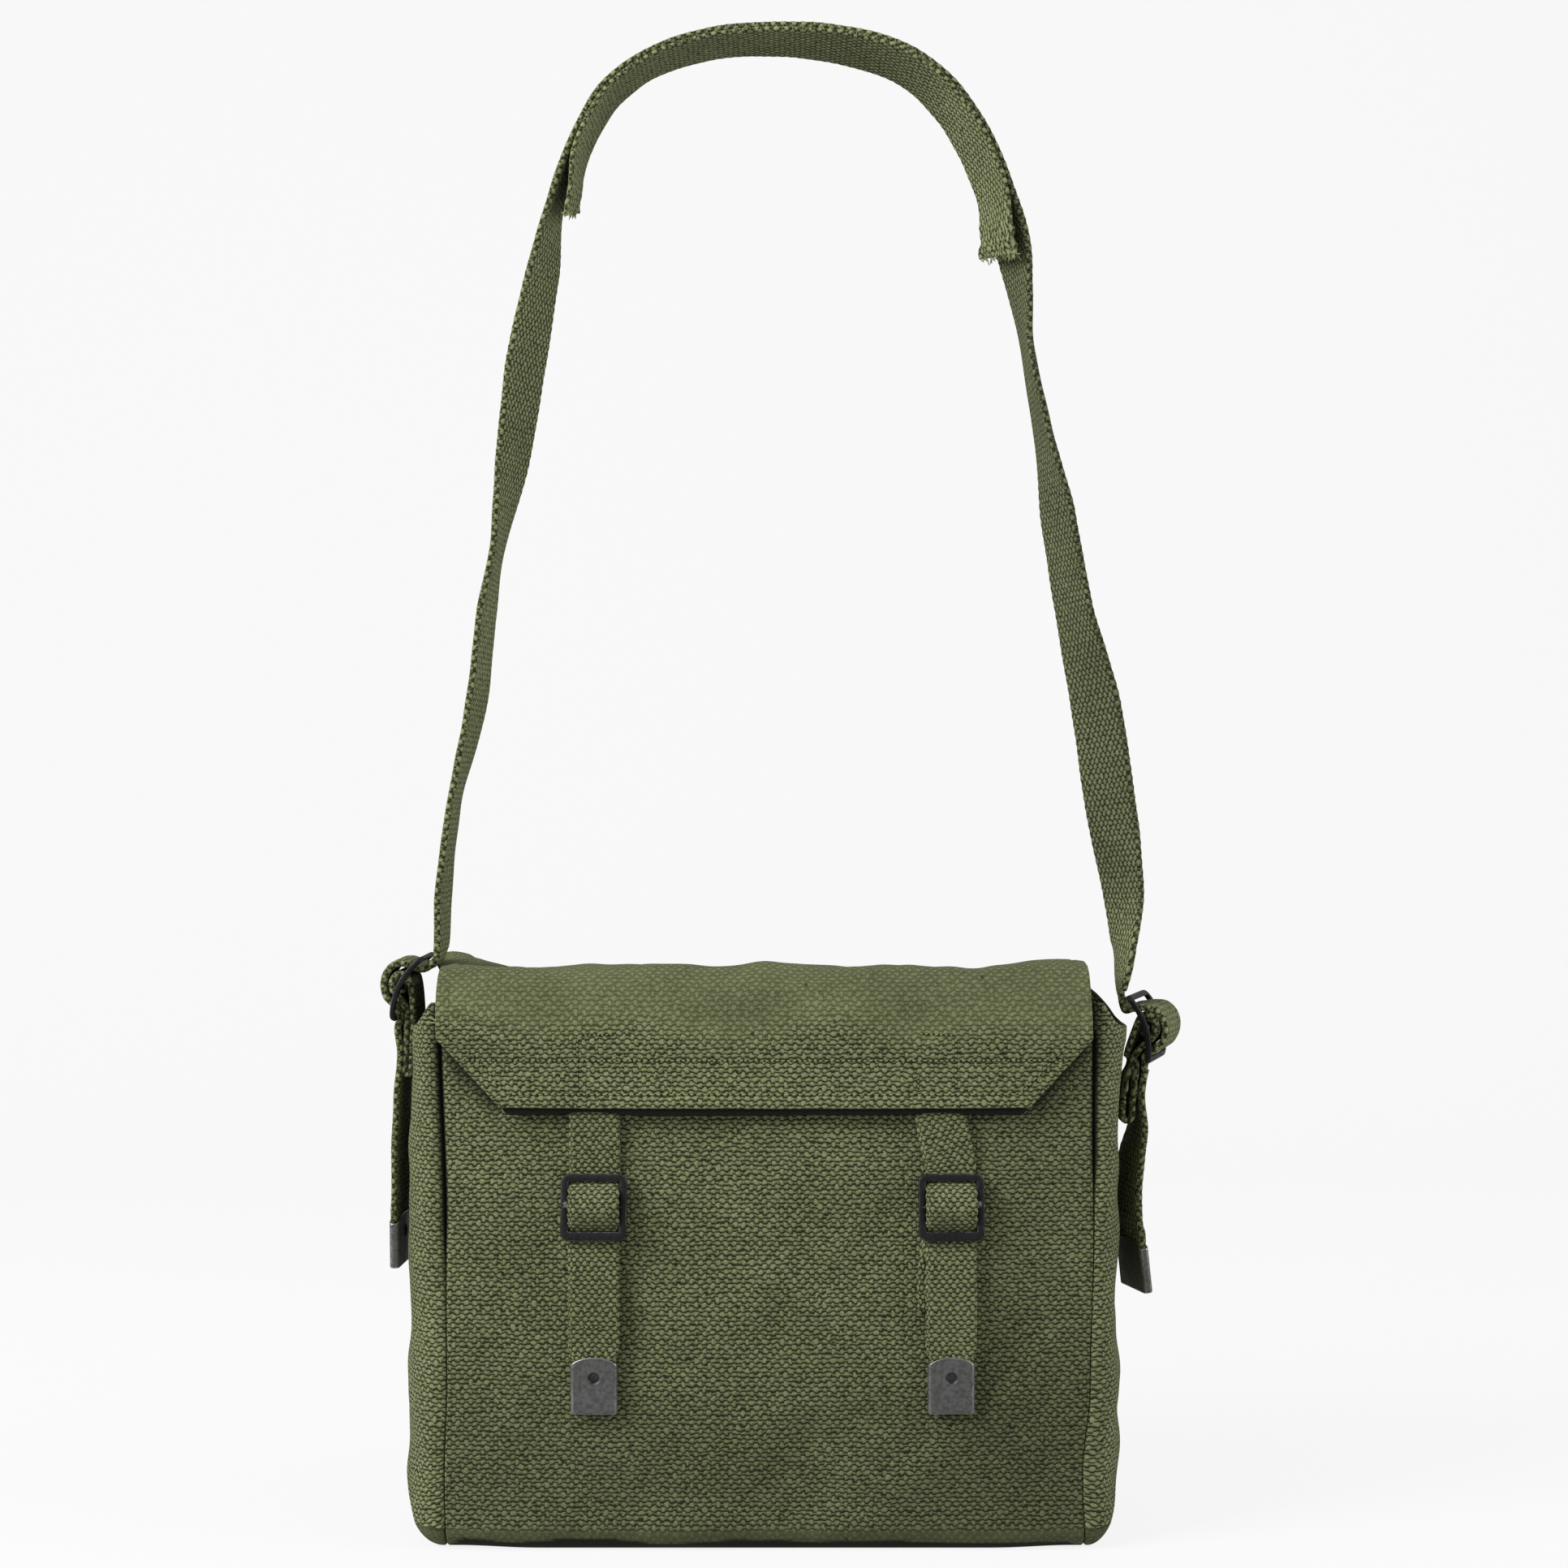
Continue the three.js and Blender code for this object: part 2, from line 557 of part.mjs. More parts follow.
// A gusset is a pillow-shaped side panel. Its rings run round the seam, from the lip turned in to
// the line up its middle.
function makeGusset(name, side) {
  const sideways = new THREE.Vector3(side, 0, 0);
  const rings = [
    { inset: seamRadius + seamLip, swell: 0, out: -1 },
    ...steps(3).map((t) => {
      const angle = (t * Math.PI) / 2;
      return {
        inset: seamRadius * (1 - Math.sin(angle)),
        swell: seamRadius * (1 - Math.cos(angle)),
        out: -Math.cos(angle),
      };
    }),
    ...steps(6).slice(1).map((t) => {
      const angle = (t * Math.PI) / 2;
      return {
        inset: halfDepth * (1 - Math.cos(angle)),
        swell: seamRadius + swellOf(side) * Math.sin(angle),
        out: Math.sin(angle),
      };
    }),
  ];
  const rows = rings.map(({ inset, swell, out }) => {
    const sag = limit((swell - seamRadius) / swellOf(side), 0, 1);
    const rim = mix(gussetCorner, gussetRim, sag);
    const path = bodyPath(inset, rim, rim);
    return path.map(({ y, z, facing }) => {
      const swellHere = swell > seamRadius ? seamRadius + (swell - seamRadius) * swellShare(side, z) : swell;
      const dent = gussetDent(side, y, z) * sag;
      const x = side * (seamAt(side, z) + seamGap + swellHere - dent);
      const point = new THREE.Vector3(x, y, z);
      const outwards = new THREE.Vector3(0, ...facing).multiplyScalar(Math.sqrt(1 - out ** 2));
      return { point, facing: outwards.addScaledVector(sideways, out).normalize() };
    });
  });
  return named(name, clothWall(rows, canvasThickness), olive);
}

// The flap seen from the side: places on its outer face, from its sewn edge behind to its front edge.
const flapInnerOut = closingThickness + 2 * clear + flapStandOff;
function flapPath() {
  const back = halfDepth + clear + canvasThickness;
  const front = -halfDepth - frontSwell * flapClears - flapInnerOut - canvasThickness;
  const path = [];
  const straight = (from, to, count) => {
    for (const t of steps(count)) path.push({ y: mix(from[0], to[0], t), z: mix(from[1], to[1], t) });
  };
  const arc = (y, z, radius, from, to) => {
    for (const t of steps(4).slice(1, -1)) {
      const angle = mix(from, to, t) * degrees;
      path.push({ y: y + radius * Math.cos(angle), z: z + radius * Math.sin(angle) });
    }
  };
  const topBack = bagHeight - flapBackRadius;
  const topFront = bagHeight - flapFrontRadius;
  straight([back, backHeight - flapSewnHeight], [back, topBack], 3);
  arc(back - flapBackRadius, topBack, flapBackRadius, 0, 90);
  straight([back - flapBackRadius, bagHeight], [front + flapFrontRadius, bagHeight], 6);
  arc(front + flapFrontRadius, topFront, flapFrontRadius, 90, 180);
  straight([front, topFront], [front, bagHeight - flapDrop], 5);
  return path;
}

function flapWave(x, y) {
  return flapWaves.reduce((sum, wave) => {
    const dx = (x / (flapWidth / 2) - wave.across) / wave.breadth;
    const dy = (y / halfDepth - wave.back) / wave.length;
    return sum + wave.rise * canvasThickness * bell(dx) * bell(dy);
  }, 0);
}

// Half width of the flap at a height down its front, with the corners cut.
function flapHalfWidth(y, z) {
  const cut = limit((bagHeight - z - flapCornerDrop) / (flapDrop - flapCornerDrop), 0, 1);
  return mix(flapWidth, flapEdgeWidth, y < 0 ? cut : 0) / 2;
}

function makeFlap() {
  const path = flapPath();
  const rows = path.map(({ y, z }, i) => {
    const before = path[Math.max(0, i - 1)];
    const after = path[Math.min(path.length - 1, i + 1)];
    const facing = new THREE.Vector3(0, after.z - before.z, before.y - after.y).normalize();
    return flapColumns.map((t) => {
      const x = t * flapHalfWidth(y, z);
      const droop = flapDroop * smooth(limit((Math.abs(t) - flapDroopsFrom) / (1 - flapDroopsFrom), 0, 1));
      const lift = Math.max(0, facing.z) * (flapWave(x, y) - droop);
      const follow = y < -halfDepth ? frontBulge(x, Math.min(z, frontHeight)) - frontSwell * flapClears : 0;
      const sink = y < -halfDepth ? smooth(limit((bagHeight - flapFrontRadius - z) / flapSettles, 0, 1)) : 0;
      const point = new THREE.Vector3(x, y - Math.min(follow, flapFollows) * sink, z + lift);
      return { point, facing };
    });
  });
  return named("flap", clothWall(rows, canvasThickness), olive);
}

// Places along a closing strap and its chape, seen from the side: z, and how far out of the front.
const frame = buckleSize / 2 - buckleBar / 2; // from the middle bar to the top or bottom bar
const underStrap = 2 * (clear + chapeThickness); // both layers of the chape
const strapAtTopBar = strapPlay + closingThickness / 2;
const strapAtBottomBar = underStrap + clear + closingThickness / 2;
const barPast = closingThickness / 2 + barPlay + buckleThickness / 2;
const topBarOut = strapAtTopBar + barPast;
const bottomBarOut = strapAtBottomBar + barPast;
const middleBarOut = (topBarOut + bottomBarOut) / 2;
const loopRadius = buckleMiddleBar + clear + chapeThickness / 2;
const strapOverBar = middleBarOut + loopRadius + chapeThickness / 2 + clear + closingThickness / 2;

const tipOut = strapAtBottomBar * 0.8; // the strap's end, past its chape

function closingPath() {
  const underFlap = flapInnerOut - clear - closingThickness / 2;
  return [
    { z: bagHeight - flapDrop + closingInside, out: underFlap },
    { z: bagHeight - flapDrop + closingInside / 2, out: underFlap },
    { z: bagHeight - flapDrop, out: underFlap },
    { z: mix(bagHeight - flapDrop, buckleHeight + frame, 0.6), out: mix(underFlap, strapAtTopBar, 0.55) },
    ...throughBuckle.map(({ up, over }) => ({
      z: buckleHeight + frame * up,
      out: mix(up > 0 ? strapAtTopBar : strapAtBottomBar, strapOverBar, over),
    })),
    { z: buckleHeight - chapeLength, out: strapAtBottomBar },
    { z: mix(buckleHeight - chapeLength, closingEnd + tipLength + tipBite, 0.5), out: mix(strapAtBottomBar, tipOut, 0.5) },
  ];
}

// Where a closing strap lies across at a height, given its row.
function closingAcross(closing, z) {
  const share = limit((bagHeight - flapDrop - z) / (bagHeight - flapDrop - buckleHeight - frame), 0, 1);
  return halfWidth * mix(closing.atFlap, closing.atBuckle, smooth(share));
}

// A frame on the front at a height: x to the right along the cloth, y into the bag.
function frontFrame(closing, z) {
  const x = closingAcross(closing, z);
  const step = closingWidth / 2;
  const yaw = Math.atan2(frontAt(x + step, z) - frontAt(x - step, z), 2 * step);
  return { x, y: frontAt(x, z), across: new THREE.Vector3(Math.cos(yaw), Math.sin(yaw), 0), yaw };
}

// A closing strap lies flat: its width runs the same way all along it.
function closingControls(closing, path, width) {
  const { across } = frontFrame(closing, buckleHeight);
  return path.map(({ z, out }) => {
    const { x, y } = frontFrame(closing, z);
    return { middle: new THREE.Vector3(x, y - out, z), across, width };
  });
}

// A strap ends straight where its tip is put on. The line runs from the tip's lower end up to its top,
// and sections on it are wide above the tip and narrow inside it.
function straightEnd(lower, upper, width, length) {
  const inside = width - tipNarrowing - 2 * (tipPlate + clear);
  const at = (up, wide) => ({
    middle: lower.middle.clone().lerp(upper.middle, up / length),
    across: lower.across,
    width: wide,
  });
  return [at(length + tipBite, width), at(length - tipBite, inside), at(tipPlate + clear, inside)];
}

function closingTipLine(closing) {
  const ends = [closingEnd, closingEnd + tipLength].map((z) => ({ z, out: tipOut }));
  return closingControls(closing, ends, closingWidth);
}

function makeClosingStrap(closing) {
  const [lower, upper] = closingTipLine(closing);
  const controls = [
    ...closingControls(closing, closingPath(), closingWidth),
    ...straightEnd(lower, upper, closingWidth, tipLength),
  ];
  return named("closing_strap_" + closing.name, band(smoothSections(controls, 2), closingThickness), webbing);
}

function makeFrontChape(closing) {
  const inner = clear + chapeThickness / 2;
  const outer = inner + chapeThickness + clear;
  const around = chapeTurns.map((angle) => ({
    z: buckleHeight + loopRadius * Math.sin(angle * degrees),
    out: middleBarOut + loopRadius * Math.cos(angle * degrees),
  }));
  const path = [
    { z: buckleHeight - chapeLength, out: inner },
    { z: buckleHeight - chapeLength / 2, out: inner },
    { z: buckleHeight - frame * 0.6, out: inner },
    { z: buckleHeight - frame * 0.25, out: mix(inner, middleBarOut - loopRadius, 0.55) },
    ...around,
    { z: buckleHeight - frame * 0.3, out: mix(outer, middleBarOut + loopRadius, 0.72) },
    { z: buckleHeight - frame * 0.68, out: mix(outer, middleBarOut + loopRadius, 0.2) },
    { z: buckleHeight - frame, out: outer },
    { z: buckleHeight - chapeLength * 0.6, out: outer },
    { z: buckleHeight - chapeLength + chapeOuterEnd, out: outer },
  ];
  const sections = smoothSections(closingControls(closing, path, closingWidth - 1), 2);
  return named("front_chape_" + closing.name, band(sections, chapeThickness), webbing);
}

// A buckle frame with a middle bar: width along X, thickness along Y, and a bow towards -Y.
function buckleSolid(width, height, bar, thickness, middleBar, bow) {
  const radius = bar * buckleRounding;
  const outline = new THREE.Shape();
  const w = width / 2;
  const h = height / 2;
  outline.moveTo(-w + radius, -h);
  outline.lineTo(w - radius, -h);
  outline.absarc(w - radius, -h + radius, radius, -Math.PI / 2, 0);
  outline.lineTo(w, h - radius);
  outline.absarc(w - radius, h - radius, radius, 0, Math.PI / 2);
  outline.lineTo(-w + radius, h);
  outline.absarc(-w + radius, h - radius, radius, Math.PI / 2, Math.PI);
  outline.lineTo(-w, -h + radius);
  outline.absarc(-w + radius, -h + radius, radius, Math.PI, 1.5 * Math.PI);
  const sheet = new THREE.ExtrudeGeometry(outline, { depth: height, bevelEnabled: false, curveSegments: 4 });
  sheet.translate(0, 0, -height / 2).rotateX(Math.PI / 2);
  // The bow is an arc seen from the side, so the frame is a slice between two cylinders.
  const bowPoints = steps(bow > 0 ? 8 : 1).map((t) => {
    const z = mix(-h - cutPast, h + cutPast, t);
    return [bow * (z / h) ** 2, z];
  });
  const slice = new THREE.Shape();
  bowPoints.forEach(([y, z], i) => {
    if (i === 0) slice.moveTo(y - thickness / 2, z);
    else slice.lineTo(y - thickness / 2, z);
  });
  [...bowPoints].reverse().forEach(([y, z]) => slice.lineTo(y + thickness / 2, z));
  const slab = new THREE.ExtrudeGeometry(slice, { depth: width + 2 * cutPast, bevelEnabled: false });
  slab.translate(0, 0, -width / 2 - cutPast);
  slab.applyMatrix4(new THREE.Matrix4().set(0, 0, 1, 0, 1, 0, 0, 0, 0, 1, 0, 0, 0, 0, 0, 1));
  const window = block(width - 2 * bar, 4 * height, height - 2 * bar);
  const rod = new THREE.CylinderGeometry(middleBar, middleBar, width - bar, middleRod).rotateZ(Math.PI / 2);
  return solidOf(sheet).intersect(solidOf(slab)).subtract(window).add(solidOf(rod));
}

function makeFrontBuckle(closing) {
  const solid = buckleSolid(buckleSize, buckleSize, buckleBar, buckleThickness, buckleMiddleBar, 0);
  const mesh = named("front_buckle_" + closing.name, geometryOf(solid), blackened);
  const { x, y, across, yaw } = frontFrame(closing, buckleHeight);
  mesh.position.set(x, y - middleBarOut, buckleHeight);
  const lean = Math.asin((bottomBarOut - topBarOut) / (2 * frame));
  mesh.rotation.set(-lean, 0, yaw, "ZYX");
  return mesh;
}

// A tip is a plate folded round the end of a strap, arched on top, with a dimple punched in its face.
// It lies with its lower end at z 0 and its dimpled face towards -Y.
function tipSolid(width, length, strapThick, strapWide) {
  const depth = strapThick + 2 * (tipPlate + clear);
  const radius = depth * tipRounding;
  const w = width / 2;
  const d = depth / 2;
  const plan = new THREE.Shape();
  plan.moveTo(-w + radius, -d);
  plan.lineTo(w - radius, -d);
  plan.absarc(w - radius, -d + radius, radius, -Math.PI / 2, 0);
  plan.absarc(w - radius, d - radius, radius, 0, Math.PI / 2);
  plan.lineTo(-w + radius, d);
  plan.absarc(-w + radius, d - radius, radius, Math.PI / 2, Math.PI);
  plan.absarc(-w + radius, -d + radius, radius, Math.PI, 1.5 * Math.PI);
  const body = new THREE.ExtrudeGeometry(plan, { depth: length, bevelEnabled: false, curveSegments: 3 });
  const arch = new THREE.Shape();
  const shoulder = length * tipShoulder - 2 * cutPast;
  arch.moveTo(-w - cutPast, -cutPast);
  arch.lineTo(w + cutPast, -cutPast);
  arch.lineTo(w + cutPast, shoulder);
  arch.quadraticCurveTo(w * tipArch, length, 0, length);
  arch.quadraticCurveTo(-w * tipArch, length, -w - cutPast, shoulder);
  const cutter = new THREE.ExtrudeGeometry(arch, {
    depth: depth + 2 * cutPast,
    bevelEnabled: false,
    curveSegments: 5,
  });
  cutter.rotateX(Math.PI / 2).translate(0, d + cutPast, 0);
  const pocketDepth = length - tipPlate;
  const pocket = block(strapWide + 2 * clear, strapThick + 2 * clear, pocketDepth + 2 * cutPast, [
    0,
    0,
    tipPlate + pocketDepth / 2 + cutPast,
  ]);
  const deep = tipPlate * dimpleDepth;
  const dimple = new THREE.CylinderGeometry(dimpleRadius, dimpleRadius * dimpleTaper, deep, 14);
  dimple.rotateX(Math.PI / 2).translate(0, -d + deep / 2 - 0.01, length * dimpleUp);
  return solidOf(body).intersect(solidOf(cutter)).subtract(pocket).subtract(solidOf(dimple));
}

// Puts a tip on the line between two sections, with its width along theirs.
function placeTip(mesh, { middle, across }, upper) {
  const up = upper.middle.clone().sub(middle).normalize();
  const wide = across.clone().addScaledVector(up, -across.dot(up)).normalize();
  mesh.quaternion.setFromRotationMatrix(new THREE.Matrix4().makeBasis(wide, up.clone().cross(wide), up));
  mesh.position.copy(middle);
  return mesh;
}

function makeClosingTip(closing) {
  const wide = closingWidth - tipNarrowing;
  const inside = wide - 2 * (tipPlate + clear);
  const solid = tipSolid(wide, tipLength, closingThickness, inside);
  return placeTip(named("closing_tip_" + closing.name, geometryOf(solid), steel), ...closingTipLine(closing));
}

// Side buckles: places near one are given as out, away from the bag, and up, from the middle bar.
function sideFrame(row) {
  const turn = row.turn * degrees;
  const bar = new THREE.Vector3(
    row.side * (halfWidth + row.out * sideBuckleHeight),
    0,
    bagHeight + row.up * sideBuckleHeight,
  );
  const out = new THREE.Vector3(row.side * Math.cos(turn), -Math.sin(turn), 0);
  const across = new THREE.Vector3(row.side * Math.sin(turn), Math.cos(turn), 0);
  const tilt = row.tilt * degrees;
  const half = (sideBuckleHeight - sideBuckleBar) / 2;
  const bow = row.bow * sideBuckleHeight;
  const onFrame = (along, off) => [
    -Math.sin(tilt) * along + Math.cos(tilt) * off,
    Math.cos(tilt) * along + Math.sin(tilt) * off,
  ];
  return { bar, out, across, tilt, half, bow, onFrame };
}

// A section that rides with the buckle, and one that hangs along the gusset. The second is out of
// the gusset's face, and its turn brings the far edge in.
function byBuckle(row, [outwards, up], width) {
  const { bar, out, across } = sideFrame(row);
  const middle = bar.clone().addScaledVector(out, outwards);
  middle.z += up;
  return { middle, across, width };
}

function byGusset(row, outwards, z, turn, width) {
  const angle = turn * degrees;
  const middle = new THREE.Vector3(row.side * (gussetFace(row.side, z) + outwards), 0, z);
  return { middle, across: new THREE.Vector3(-row.side * Math.sin(angle), Math.cos(angle), 0), width };
}

// Distances of the chape's layers from the gusset, and of the strap from the buckle's frame.
const chapeInner = clear + sideChape / 2 + clothSlack;
const chapeOuter = (row) => chapeInner + sideChape * (1 + row.open) + clear;
const strapAtFrame = sideBuckleThickness / 2 + 1.5 * clear + strapThickness / 2;

// The strap where it turns round a side buckle, from above the buckle to inside its bottom bar.
function strapRound(row) {
  const { half, bow, onFrame } = sideFrame(row);
  const reach = sideMiddleBar + clear + sideChape + rollClearance + clear + strapThickness / 2;
  const topBar = onFrame(half, -bow);
  const fromTopBar = overTopBar.map(({ bend, away, up }) => [
    topBar[0] + (bend * row.bend + away) * sideBuckleHeight,
    topBar[1] + up * sideBuckleHeight,
  ]);
  const turns = strapTurns.map((angle) => [
    reach * Math.cos(angle * degrees),
    reach * rollRise * Math.sin(angle * degrees),
  ]);
  return [
    ...fromTopBar,
    ...turns,
    ...underBottomBar.map(({ down, off }) => onFrame(-half * down, -bow - strapAtFrame * off)),
  ].map((at) => byBuckle(row, at, strapWidth));
}

// Sections of the strap's free end, from the buckle down.
function tailControls(row) {
  const near = clear + strapThickness / 2;
  const hang = tails[row.name].map((t) => ({ ...t, out: near + t.off * strapThickness }));
  return [
    ...hang.map(({ out, up, turn }) => byGusset(row, out, up * bagHeight, turn, strapWidth)),
    ...straightEnd(...strapTipLine(row), strapWidth, strapTipLength),
  ];
}

function strapTipLine(row) {
  const { off, up, turn } = tailEnd[row.name];
  const near = clear + strapThickness / 2;
  const from = tails[row.name].at(-1).off;
  const lower = byGusset(row, near + off * strapThickness, up * bagHeight, turn, strapWidth);
  const above = near + mix(off, from, 0.6) * strapThickness;
  const upper = byGusset(row, above, up * bagHeight + strapTipLength, turn, strapWidth);
  const along = upper.middle.clone().sub(lower.middle).normalize();
  lower.across.addScaledVector(along, -lower.across.dot(along)).normalize();
  return [lower, upper];
}

// Height where the chape comes to lie on the gusset.
function touchHeight(row) {
  const { bar, half } = sideFrame(row);
  return Math.min(gussetRim - chapeBelowRim, bar.z - half * chapeReach);
}

// The strap's table as sections. The way in is square to the strap in the plane of the loop.
function freeControls() {
  const places = strapTable.map(
    (row) => new THREE.Vector3(row.across * strapHalfWidth, 0, bagHeight + row.up * strapRise),
  );
  return strapTable.map((row, i) => {
    const along = places[Math.min(places.length - 1, i + 1)].clone().sub(places[Math.max(0, i - 1)]);
    along.normalize();
    const inwards = new THREE.Vector3(along.z, 0, -along.x);
    const turn = row.turn * degrees;
    const across = new THREE.Vector3(0, Math.cos(turn), 0).addScaledVector(inwards, Math.sin(turn));
    return { middle: places[i], across, width: strapWidth, inwards };
  });
}

function makeShoulderStrap() {
  const [left, right] = sides;
  const leftEnd = [...strapRound(left), ...tailControls(left)].reverse();
  const rightEnd = [...strapRound(right), ...tailControls(right)];
  const sections = smoothSections([...leftEnd, ...freeControls(), ...rightEnd], 2);
  return named("shoulder_strap", band(sections, strapThickness, 2), webbing);
}

// The pad is sewn along the inside of the strap, and its ends stand off it.
function makeShoulderPad() {
  const free = smoothSections(freeControls(), 2);
  const off = strapThickness / 2 + clear + padThickness / 2;
  const first = padFrom * 2;
  const last = padTo * 2;
  const sections = free.slice(first, last + 1).map((section, i) => {
    const { face, side } = sectionFrame(free, first + i);
    const t = i / (last - first);
    const end = limit((Math.abs(2 * t - 1) - padFlaresFrom) / (1 - padFlaresFrom), 0, 1);
    const middle = section.middle.clone().addScaledVector(face, -(off + padFlare * smooth(end)));
    return { middle, across: side, width: padWidth };
  });
  return named("shoulder_pad", band(sections, padThickness, 2), webbing);
}

// Webbing over the side buckle's bar. One end lies on the gusset, the other goes down outside it,
// folds under and comes up again to meet the first.
function makeSideChape(row) {
  const { half, bow, onFrame } = sideFrame(row);
  const width = strapWidth - 1;
  const loop = (sideMiddleBar + clear + sideChape / 2) * loopEase;
  const outer = chapeOuter(row);
  const foldRadius = (outer - chapeInner) / 2;
  const foldZ = row.fold * bagHeight + foldRadius + sideChape / 2;
  const meet = foldZ + chapeLap;
  const touch = touchHeight(row);
  const onGusset = (out, z) => byGusset(row, out, z, 0, width);
  const onBuckle = (at) => byBuckle(row, at, width);
  const turns = sideTurns.map((angle) => [
    loop * Math.cos(angle * degrees),
    loop * Math.sin(angle * degrees),
  ]);
  const behindStrap = -bow - strapAtFrame * strapPastBar - strapThickness / 2 - strapAir - sideChape / 2;
  const past = onFrame(-half, behindStrap);
  const fold = [0, -60, -120, -180].map((angle) =>
    onGusset(
      (outer + chapeInner) / 2 + foldRadius * Math.cos(angle * degrees),
      foldZ + foldRadius * Math.sin(angle * degrees),
    ),
  );
  const controls = [
    onGusset(chapeInner, meet),
    onGusset(chapeInner, mix(meet, touch, 0.5)),
    onGusset(chapeInner, touch),
    onBuckle([past[0] - sideChape - strapAir, past[1]]),
    ...turns.map(onBuckle),
    onBuckle(onFrame(-half * 0.66, behindStrap * 0.78)),
    onBuckle(past),
    onGusset(outer, touch),
    onGusset(outer, mix(touch, foldZ, 0.55)),
    ...fold,
    onGusset(chapeInner, meet - sideChape / 2),
  ];
  return named("side_chape_" + row.name, band(smoothSections(controls, 2), sideChape, 2), webbing);
}

function makeSideBuckle(row) {
  const width = strapWidth + 2 * (sideBuckleBar + 1);
  const { bar, tilt, bow } = sideFrame(row);
  const solid = buckleSolid(width, sideBuckleHeight, sideBuckleBar, sideBuckleThickness, sideMiddleBar, bow);
  const mesh = named("side_buckle_" + row.name, geometryOf(solid), blackened);
  // The frame's face turns to the bag's side, then leans in.
  mesh.position.copy(bar);
  mesh.rotation.set(-tilt, 0, row.side * (Math.PI / 2) - row.side * row.turn * degrees, "ZYX");
  return mesh;
}

function makeStrapTip(row) {
  const wide = strapWidth - tipNarrowing;
  const inside = wide - 2 * (tipPlate + clear);
  const solid = tipSolid(wide, strapTipLength, strapThickness, inside);
  return placeTip(named("strap_tip_" + row.name, geometryOf(solid), steel), ...strapTipLine(row));
}

const haversack = new THREE.Group();
haversack.position.z = -hangHeight;
haversack.add(makeMainPanel());
haversack.add(makeGusset("gusset_left", -1));
haversack.add(makeGusset("gusset_right", 1));
haversack.add(makeFlap());
for (const closing of closings) {
  haversack.add(makeClosingStrap(closing));
  haversack.add(makeFrontChape(closing));
  haversack.add(makeFrontBuckle(closing));
  haversack.add(makeClosingTip(closing));
}
haversack.add(makeShoulderStrap());
haversack.add(makeShoulderPad());
for (const row of sides) {
  haversack.add(makeSideChape(row));
  haversack.add(makeSideBuckle(row));
  haversack.add(makeStrapTip(row));
}

export default haversack;
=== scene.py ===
import math

import bmesh
import bpy
import numpy as np
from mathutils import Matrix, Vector


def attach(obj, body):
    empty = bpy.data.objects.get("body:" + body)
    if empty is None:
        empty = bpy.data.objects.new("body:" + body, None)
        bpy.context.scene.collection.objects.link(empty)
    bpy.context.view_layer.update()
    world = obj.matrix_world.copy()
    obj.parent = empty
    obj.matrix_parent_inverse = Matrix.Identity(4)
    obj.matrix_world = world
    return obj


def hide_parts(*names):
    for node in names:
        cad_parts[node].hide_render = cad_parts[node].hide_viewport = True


# An olive canvas haversack that hangs by its shoulder strap. Shapes are worked out in millimetres
# above the bag's bottom, and makePiece turns them into metres below the hanging point.
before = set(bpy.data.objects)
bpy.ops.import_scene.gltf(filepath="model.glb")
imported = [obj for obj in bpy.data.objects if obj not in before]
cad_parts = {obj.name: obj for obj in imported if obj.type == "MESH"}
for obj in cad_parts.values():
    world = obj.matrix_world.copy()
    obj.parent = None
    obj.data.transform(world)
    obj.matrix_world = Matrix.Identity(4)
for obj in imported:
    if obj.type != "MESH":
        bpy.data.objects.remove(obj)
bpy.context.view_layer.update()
scene = bpy.context.scene

bag = {
    "hangHeight": 757.75,  # bag's bottom up to the hanging point
    "width": 320, "depth": 110, "frontHeight": 265, "gussetCorner": 269, "gussetRim": 255,
    "underRadius": 11,  # where front and back turn under
    "frontSwell": 7, "swellLeft": 20, "swellRight": 13.5,
    "cloth": 2, "gap": 0.35,
    "height": 286,  # top of the closed flap
}
halfWidth = bag["width"] / 2
halfDepth = bag["depth"] / 2
degrees = math.pi / 180
leftEdge, rightEdge = -1, 1


def mix(a, b, share):
    return a + (b - a) * share


def ramp(value, low, high):
    share = np.clip((value - low) / (high - low), 0, 1)
    return share * share * (3 - 2 * share)


def bell(x):
    return np.exp(-x * x)


def unit(v):
    return v / np.maximum(np.linalg.norm(v, axis=-1, keepdims=True), 1e-9)


# Soft uneven waves over a surface, about that many millimetres apart.
def ripples(u, v, length, seed):
    dice = np.random.default_rng(seed)
    total = 0
    for _ in range(14):
        angle = dice.uniform(0, 2 * math.pi)
        wave = 2 * math.pi / (length * dice.uniform(0.7, 1.8))
        total = total + np.sin(wave * (u * math.cos(angle) + v * math.sin(angle)) + dice.uniform(0, 6.3))
    return total / 3.7


def readTable(table, column, up):
    ups = np.array([row["up"] for row in table])
    values = np.array([row[column] for row in table])
    at = np.clip(up, ups[0], ups[-1])
    i = np.clip(np.searchsorted(ups, at, side="right") - 1, 0, len(ups) - 2)
    share = (at - ups[i]) / (ups[i + 1] - ups[i])
    return mix(values[i], values[i + 1], share * share * (3 - 2 * share))


